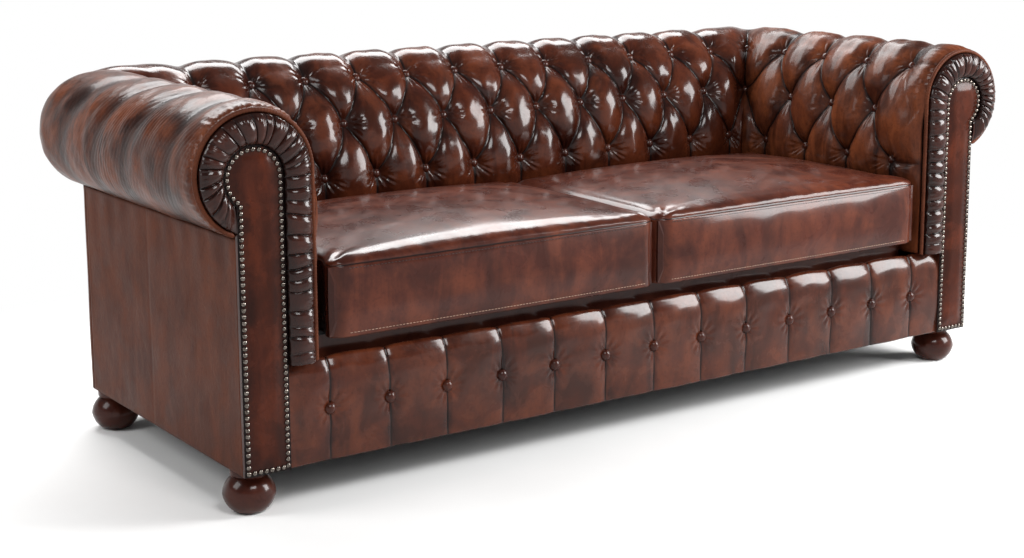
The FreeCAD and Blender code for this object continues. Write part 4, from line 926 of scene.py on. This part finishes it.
def gatheredBorder(hand, word):
    # a strip crowned as a half ellipse and drawn up in pleats: each is a sine to the power 0.6 between two
    # sharp creases
    seed = 51 if hand > 0 else 52
    path = np.linspace(0, 1, 1200)
    across = (1 - np.cos(math.pi * np.linspace(0, 1, 30))) / 2
    inner, outer, total = borderEdges(path)
    length = path * total
    a, s = np.meshgrid(across, length, indexing="ij")
    at = s + 0.0042 * ripple(seed, s * 14, a * 0.7, 5, 0.8, 2.4) + 0.003 * (a - 0.5) * np.sin(s * 31)
    creases = gatherPlaces(seed, total + 0.08, armFront["pitch"])
    k = np.clip(np.searchsorted(creases, at), 1, len(creases) - 1)
    before, after = creases[k - 1], creases[k]
    share = np.clip((at - before) / (after - before), 0, 1)
    ridge = (np.sin(np.pi * share) + 1e-6) ** 0.6
    strength = np.random.default_rng(seed + 2).uniform(0.35, 1.2, len(creases))
    strength = strength[k] * (1 - share) + strength[k - 1] * share
    fromCrease = np.minimum(share, 1 - share) * (after - before)
    tall, away, reach = armFront["lip"]
    lip = bell(share * (after - before) - away, reach)
    pleats = armFront["pleat"] * strength * (ridge - 1) + tall * lip * strength
    tall, pitch = armFront["fine"]
    second = np.sin((s + 0.003 * ripple(seed + 3, s * 12, a, 3)) * 2 * math.pi / pitch)
    pleats += tall * second * np.clip((a - 0.55) / 0.3, 0, 1)
    crown = np.sqrt(np.clip(1 - (2 * a - 1) ** 2, 0, 1))
    lift = armFront["nose"] * crown**0.85 + pleats * np.clip(crown * 1.8, 0, 1)
    place = inner[None] + (outer - inner)[None] * a[..., None]
    tail = ease(s, total - 0.035, total)
    y = front + 0.002 - lift * (1 - 0.75 * tail)
    skin = np.stack([place[..., 0] * hand, y, place[..., 1]], -1)
    backY = path * 0 + front + armFront["backDepth"]
    back = np.stack([np.stack([edge[:, 0] * hand, backY, edge[:, 1]], -1) for edge in (outer, inner)])
    # painted shade: crease darkens the gathers' creases and, through rim, both long edges of the strip; crown
    # darkens it between the ridges and towards its edges
    crease = np.exp(-fromCrease / armFront["creaseWidth"]) * np.clip(strength, 0, 1)
    rim = np.exp(-a * 0.07 / 0.0025) + 0.6 * np.exp(-(1 - a) * 0.07 / 0.0015)
    piece = makeBar(f"border_gathered_{word}", np.concatenate([skin, back]), borderLeather,
                    {"crown": behind(ridge * crown, 2), "crease": behind(np.clip(crease + rim, 0, 1), 2)})
    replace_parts(piece, f"facing_border_{word}")


def pipingCord(hand, word):
    # a thin welt round the border's outer edge: circles carried up the stem and round the roll, with small
    # gathers along it
    radius = rollRadius - armFront["piping"]
    end = math.acos(rollInset / radius) - math.radians(2)
    stem = rollHeight - railHigh.z - 0.0003
    length = np.linspace(0, stem + radius * (math.pi + end), 700)
    turn = math.pi - np.maximum(length - stem, 0) / radius
    centreX = rollX + radius * np.cos(turn)
    centreZ = rollHeight + radius * np.sin(turn) - np.maximum(stem - length, 0)
    depth, pitch = armFront["pipingGathers"]
    gathers = np.sin(length * 2 * math.pi / pitch + 2 * ripple(61, length * 20, length, 4))
    taper = 1 - 0.6 * ease(length, length[-1] - 0.006, length[-1])
    thick = armFront["piping"] * (1 + depth * gathers) * taper
    around = np.linspace(0, 2 * math.pi, 13)[:-1, None]
    radial = np.cos(around) * thick
    y = front + armFront["piping"] + armFront["clear"] - np.sin(around) * thick
    loop = np.stack([(centreX + np.cos(turn) * radial) * hand, y, centreZ + np.sin(turn) * radial], -1)
    piece = makeBar(f"piping_welt_{word}", loop, outsideLeather)
    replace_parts(piece, f"facing_piping_{word}")


def facingCover(hand, word):
    # smooth leather over a thin pad: flat under the nails, with a soft step up to a dome between them. Its
    # outline is a stem with a round head, cut off at the sofa's side
    notch = headZ - math.sqrt(armFront["headRadius"] ** 2 - (side - headX) ** 2)
    top = headZ + armFront["headRadius"]
    stemRows = np.linspace(footTop, notch, 120)
    turn = np.linspace(math.asin((notch - headZ) / armFront["headRadius"]), math.pi / 2, 90)[1:]
    z = np.concatenate([stemRows, headZ + armFront["headRadius"] * np.sin(turn)])
    rise = np.clip((z - headZ) / armFront["headRadius"], -1, 1)
    half = armFront["headRadius"] * np.sqrt(np.clip(1 - rise**2, 0, 1))
    left = np.where(z < headZ, facingLow.x, headX - half)
    right = np.where(z < notch, side, headX + half)
    u = np.sin(np.linspace(-1, 1, 41) * math.pi / 2)
    low, high = left[:, None], right[:, None]
    x = (low + high) / 2 + (high - low) / 2 * u
    edge = np.minimum(np.minimum(x - low, high - x), np.minimum(z - footTop, top - z)[:, None])
    dome = sum(tall * ease(edge, low, high) for tall, low, high in armFront["domes"])
    wave = armFront["wave"] * ripple(71 + hand, x * 30, z[:, None] * 12, 6, 0.8, 3)
    dome += wave * ease(edge, 0.008, 0.03)
    skin = np.stack([x * hand, front + armFront["clear"] - dome, z[:, None] + x * 0], -1)
    back = np.stack([x * hand, front + 0.002 + x * 0, z[:, None] + x * 0], -1)
    # painted shade: crease darkens a line along the edge under the nails, and a low crown darkens a rim inside
    # it; the middle turns warmer
    inside = np.tile(edge.ravel(), 2)
    crease = bell(inside, armFront["edgeShadeReach"])
    attributes = {"crease": crease, "crown": 0.25 + 0.75 * ease(inside, 0.006, 0.04)}
    piece = makeSlab(f"facing_cover_{word}", skin, back, facingLeather, attributes)
    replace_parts(piece, f"facing_leather_{word}")


def nailRow(hand, word):
    # dome nails at even steps just inside the facing's outline: up the outer edge, round the head, down and
    # across. Each is a stack of rings on a quarter ellipse
    radius, height, pitch = armFront["nail"]
    inset = armFront["nailInset"]
    outerX, innerX, lowZ = side - inset, facingLow.x + inset, footTop + inset
    reach = armFront["headRadius"] - inset
    turn = np.linspace(-math.acos((outerX - headX) / reach), math.pi, 200)
    x = np.concatenate([[outerX], headX + reach * np.cos(turn), [innerX, outerX]])
    z = np.concatenate([[lowZ], headZ + reach * np.sin(turn), [lowZ, lowZ]])
    length = np.concatenate([[0], np.cumsum(np.hypot(np.diff(x), np.diff(z)))])
    count = round(length[-1] / pitch)
    at = np.arange(count) * length[-1] / count
    centres = np.stack([np.interp(at, length, x) * hand, at * 0 + front, np.interp(at, length, z)], -1)
    lean = np.linspace(0, 1, 6)[:-1] * math.pi / 2
    dome = np.stack([radius * np.cos(lean), -height * np.sin(lean)], -1)
    rings = np.concatenate([[(radius * 0.96, 0.0008)], dome])
    sides = 12
    around = np.linspace(0, 2 * math.pi, sides + 1)[:-1]
    ring = [rings[:, :1] * np.cos(around), rings[:, 1:] + around * 0, rings[:, :1] * np.sin(around)]
    points = centres[:, None, :] + np.stack(ring, -1).reshape(1, -1, 3)
    offsets = (np.arange(count) * len(rings) * sides)[:, None, None]
    quads = (gridFaces(len(rings), sides, wrapColumns=True) + offsets).reshape(-1, 4)
    ends = np.stack([np.arange(sides)[::-1], np.arange(sides) + (len(rings) - 1) * sides])
    piece = makePiece(f"nail_row_{word}", points, [quads, (ends + offsets).reshape(-1, sides)],
                      finishes["nail_brass"])
    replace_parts(piece, f"facing_nails_{word}")


for hand, word in hands:
    gatheredBorder(hand, word)
    pipingCord(hand, word)
    facingCover(hand, word)
    nailRow(hand, word)
print("arm fronts made")


# Outside panels

outside = {
    "thickness": 0.002,
    "wave": 0.0012,
    "topWaves": (0.0012, 0.05, 0.07),  # under the roll: height, reach and pitch
    "seam": (0.0012, 0.0022),  # depth and half width
    "pull": (0.0006, 0.03),  # the leather on both sides of a seam: depth and reach
    "sideSeam": 0.392,  # from the arm front
    "start": 0.0103,
}


def outsidePath(length):
    # plan place and outward direction at a length from the arm front: straight back along the side, a quarter
    # circle round the rear corner, then straight along the rear
    turn = np.clip((length - sideLength) / cornerRadius, 0, math.pi / 2)
    beyond = np.maximum(length - sideLength - cornerRadius * math.pi / 2, 0)
    x = side - cornerRadius + cornerRadius * np.cos(turn) - beyond
    y = np.where(length < sideLength, front + length, rear - cornerRadius + cornerRadius * np.sin(turn))
    return x, y, np.cos(turn), np.sin(turn)


def outsidePanel(name, length, hand, seams, node, seed):
    # a thin skin drawn over boards: on a grid of heights and lengths it stands out by its slackness, less a
    # bell along each seam. Beyond the middle of the rear the path is the other hand's, run backwards
    full = sideLength + cornerRadius * math.pi / 2 + (side - cornerRadius)
    x, y, outX, outY = outsidePath(np.where(length > full, 2 * full - length, length))
    sign = np.where(length > full, -1.0, 1.0) * hand
    x, outX = x * sign, outX * sign
    up, along = np.meshgrid(np.linspace(footTop, panelTop, 60), length, indexing="ij")
    slack = outside["wave"] * ripple(seed, along * 5, up * 4, 7, 0.6, 2.5)
    tall, reach, pitch = outside["topWaves"]
    waves = np.sin(along * 2 * math.pi / pitch + 2 * ripple(seed + 1, along * 6, up))
    slack += tall * np.exp(-(panelTop - up) / reach) * waves
    edges = ease(up, footTop, footTop + 0.02) * ease(panelTop - up, 0, 0.02)
    out = (slack - 0.0003) * edges * ease(np.minimum(along - length[0], length[-1] - along), 0, 0.01)
    for deep, reach in (outside["seam"], outside["pull"]):
        out -= deep * sum((bell(along - seam, reach) for seam in seams), along * 0)
    lining = up * 0 - outside["thickness"]
    skin, inner = (np.stack([x + outX * off, y + outY * off, up], -1) for off in (out, lining))
    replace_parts(makeSlab(name, skin, inner, outsideLeather), node)


for hand, word in hands:
    outsidePanel(f"outside_arm_{word}", np.linspace(outside["start"], sideLength - 0.001, 160), hand,
                 [outside["sideSeam"]], f"outside_arm_panel_{word}", 81 + hand)
wrapEnd = sideLength + cornerRadius * math.pi + 2 * (side - cornerRadius)
outsidePanel("outside_back", np.linspace(sideLength, wrapEnd, 320), 1, [], "outside_back_panel", 85)
print("outside panels made")


# Cloths

sheetLook = {"wave": 0.0008, "thickness": 0.0007, "sink": 0.0002}


def clothSheet(name, node, seed, rounding):
    # a thin cloth on a node's outline with round rear corners, and faint waves that die at its edges
    low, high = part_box(node)
    xs, ys = np.linspace(low.x, high.x, 100), np.linspace(low.y, high.y, 44)
    x, y = np.meshgrid(xs, ys, indexing="ij")
    u, v = (x - low.x) / (high.x - low.x), (y - low.y) / (high.y - low.y)
    moveX, moveY = roundCorner(np.abs(x) - high.x, y - high.y, rounding)
    x, y = x - np.sign(x) * moveX, y - moveY
    field = 16 * u * (1 - u) * v * (1 - v)
    top = high.z - sheetLook["sink"] + sheetLook["wave"] * ripple(seed, x * 6, y * 6, 7, 0.5, 2) * field**0.5
    skin, under = (np.stack([x, y, z], -1) for z in (top, top - sheetLook["thickness"]))
    piece = makeSlab(name, skin, under, finishes["black_cloth"])
    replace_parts(piece, node)


clothSheet("deck_cloth_laid", "deck_cloth", 91, 0.02)
clothSheet("dust_cloth", "dust_cover", 92, 0.052)
print("cloths laid")


# Stage, light and camera

stage = {
    "floor": (0.88, 0.88, 0.875, 1),
    "worldLight": 0.24,
    "flatReach": 8,  # the floor curves up beyond this
    "shadow": (1.35, 0.85, 0.9, 1.75),  # half lengths of the sofa's surroundings, and where white fades in
    "place": (-2.2151, -3.0867, 1.0936),
    "yaw": -0.6069,
    "pitch": -0.1794,
    "roll": -0.0046,
    "lens": 62.06,
    "shift": -0.0703,
}

lamps = {
    # place, target, width, height, watts
    "key": ((-0.9, -2.9, 2.7), (0.1, -0.1, 0.4), 1.4, 0.8, 62),
    "overhead": ((0.4, 1.6, 2.4), (0.1, -0.2, 0.4), 3.4, 1.0, 140),
    "window": ((2.5, -2.0, 1.7), (0.1, 0.1, 0.55), 1.4, 1.8, 170),
    "left": ((-3.2, 0.2, 2.2), (-0.9, 0.0, 0.4), 1.4, 1.4, 42),
}


def addLamp(name, place, target, width, height, watts):
    # a rectangular lamp turned towards its target
    light = bpy.data.lights.new(name, "AREA")
    light.shape = "RECTANGLE"
    light.size, light.size_y, light.energy = width, height, watts
    lamp = bpy.data.objects.new(name, light)
    lamp.location = place
    lamp.rotation_euler = (Vector(target) - Vector(place)).to_track_quat("-Z", "Y").to_euler()
    bpy.context.scene.collection.objects.link(lamp)


for name, settings in lamps.items():
    addLamp(name, *settings)

# floor: flat, then curving up far away as a square to a low wall; beyond the sofa's shadow the camera, glossy
# and transmission rays see it plain white
ringReach = np.concatenate([np.linspace(0.01, 6, 24), 6 + np.linspace(0, 1, 17)[1:] * 10])
ringRise = (np.maximum(ringReach - stage["flatReach"], 0) / 8) ** 2 * 5
ringSides = 96
ringTurn = np.linspace(0, 2 * math.pi, ringSides + 1)[:-1]
floorPoints = np.stack([ringReach[:, None] * np.cos(ringTurn), ringReach[:, None] * np.sin(ringTurn),
                        ringRise[:, None] + ringTurn * 0], -1).reshape(-1, 3)
floorMesh = bpy.data.meshes.new("floor")
floorFaces = gridFaces(len(ringReach), ringSides, wrapColumns=True).tolist() + [list(range(ringSides))]
floorMesh.from_pydata(floorPoints.tolist(), [], floorFaces)
floorMesh.shade_smooth()
floor = bpy.data.objects.new("floor", floorMesh)
bpy.context.scene.collection.objects.link(floor)
floorFinish = Finish("pale floor", Roughness=0.7, Specular_IOR_Level=0.2)
paper = floorFinish.noise(3, 3, 0.5)
greyer = tuple(part * 0.97 for part in stage["floor"][:3]) + (1,)
floorFinish.wire(Base_Color=floorFinish.mix(floorFinish.between(paper, 0.3, 0.7), stage["floor"], greyer))
halfX, halfY, near, away = stage["shadow"]
spread = floorFinish.node("Mapping", {}, {"Vector": floorFinish.place, "Scale": (1 / halfX, 1 / halfY, 0.0)})
distance = floorFinish.node("VectorMath", {"operation": "LENGTH"}, {0: spread}, "Value")
far = floorFinish.between(distance, near, away)
rays = ("Camera", "Glossy", "Transmission")
kinds = [floorFinish.node("LightPath", {}, {}, f"Is {ray} Ray") for ray in rays]
seen = floorFinish.math("MAXIMUM", floorFinish.math("MAXIMUM", kinds[0], kinds[1]), kinds[2])
white = floorFinish.node("Emission", {}, {"Color": (1, 1, 1, 1), "Strength": 1.0})
lit = Wire(floorFinish, floorFinish.shader.outputs[0])
ground = floorFinish.node("MixShader", {}, {0: far * seen, 1: lit, 2: white})
floorFinish.feed(floorFinish.tree.nodes["Material Output"].inputs["Surface"], ground)
floorMesh.materials.append(floorFinish.material)

world = bpy.data.worlds.new("studio")
bpy.context.scene.world = world
world.use_nodes = True
background = world.node_tree.nodes["Background"]
background.inputs["Color"].default_value = (1, 1, 1, 1)
background.inputs["Strength"].default_value = stage["worldLight"]

yaw, pitch, roll = stage["yaw"], stage["pitch"], stage["roll"]
forward = Vector((-math.sin(yaw) * math.cos(pitch), math.cos(yaw) * math.cos(pitch), math.sin(pitch)))
right = Vector((math.cos(yaw), math.sin(yaw), 0))
upward = right.cross(forward)
tiltedRight = right * math.cos(roll) + upward * math.sin(roll)
tiltedUp = upward * math.cos(roll) - right * math.sin(roll)
cameraData = bpy.data.cameras.new("camera")
cameraData.lens, cameraData.sensor_width, cameraData.shift_y = stage["lens"], 36, stage["shift"]
camera = bpy.data.objects.new("camera", cameraData)
turned = Matrix((tiltedRight, tiltedUp, -forward)).transposed().to_4x4()
turned.translation = stage["place"]
camera.matrix_world = turned
bpy.context.scene.collection.objects.link(camera)
bpy.context.scene.camera = camera
bpy.context.scene.view_settings.view_transform = "Standard"
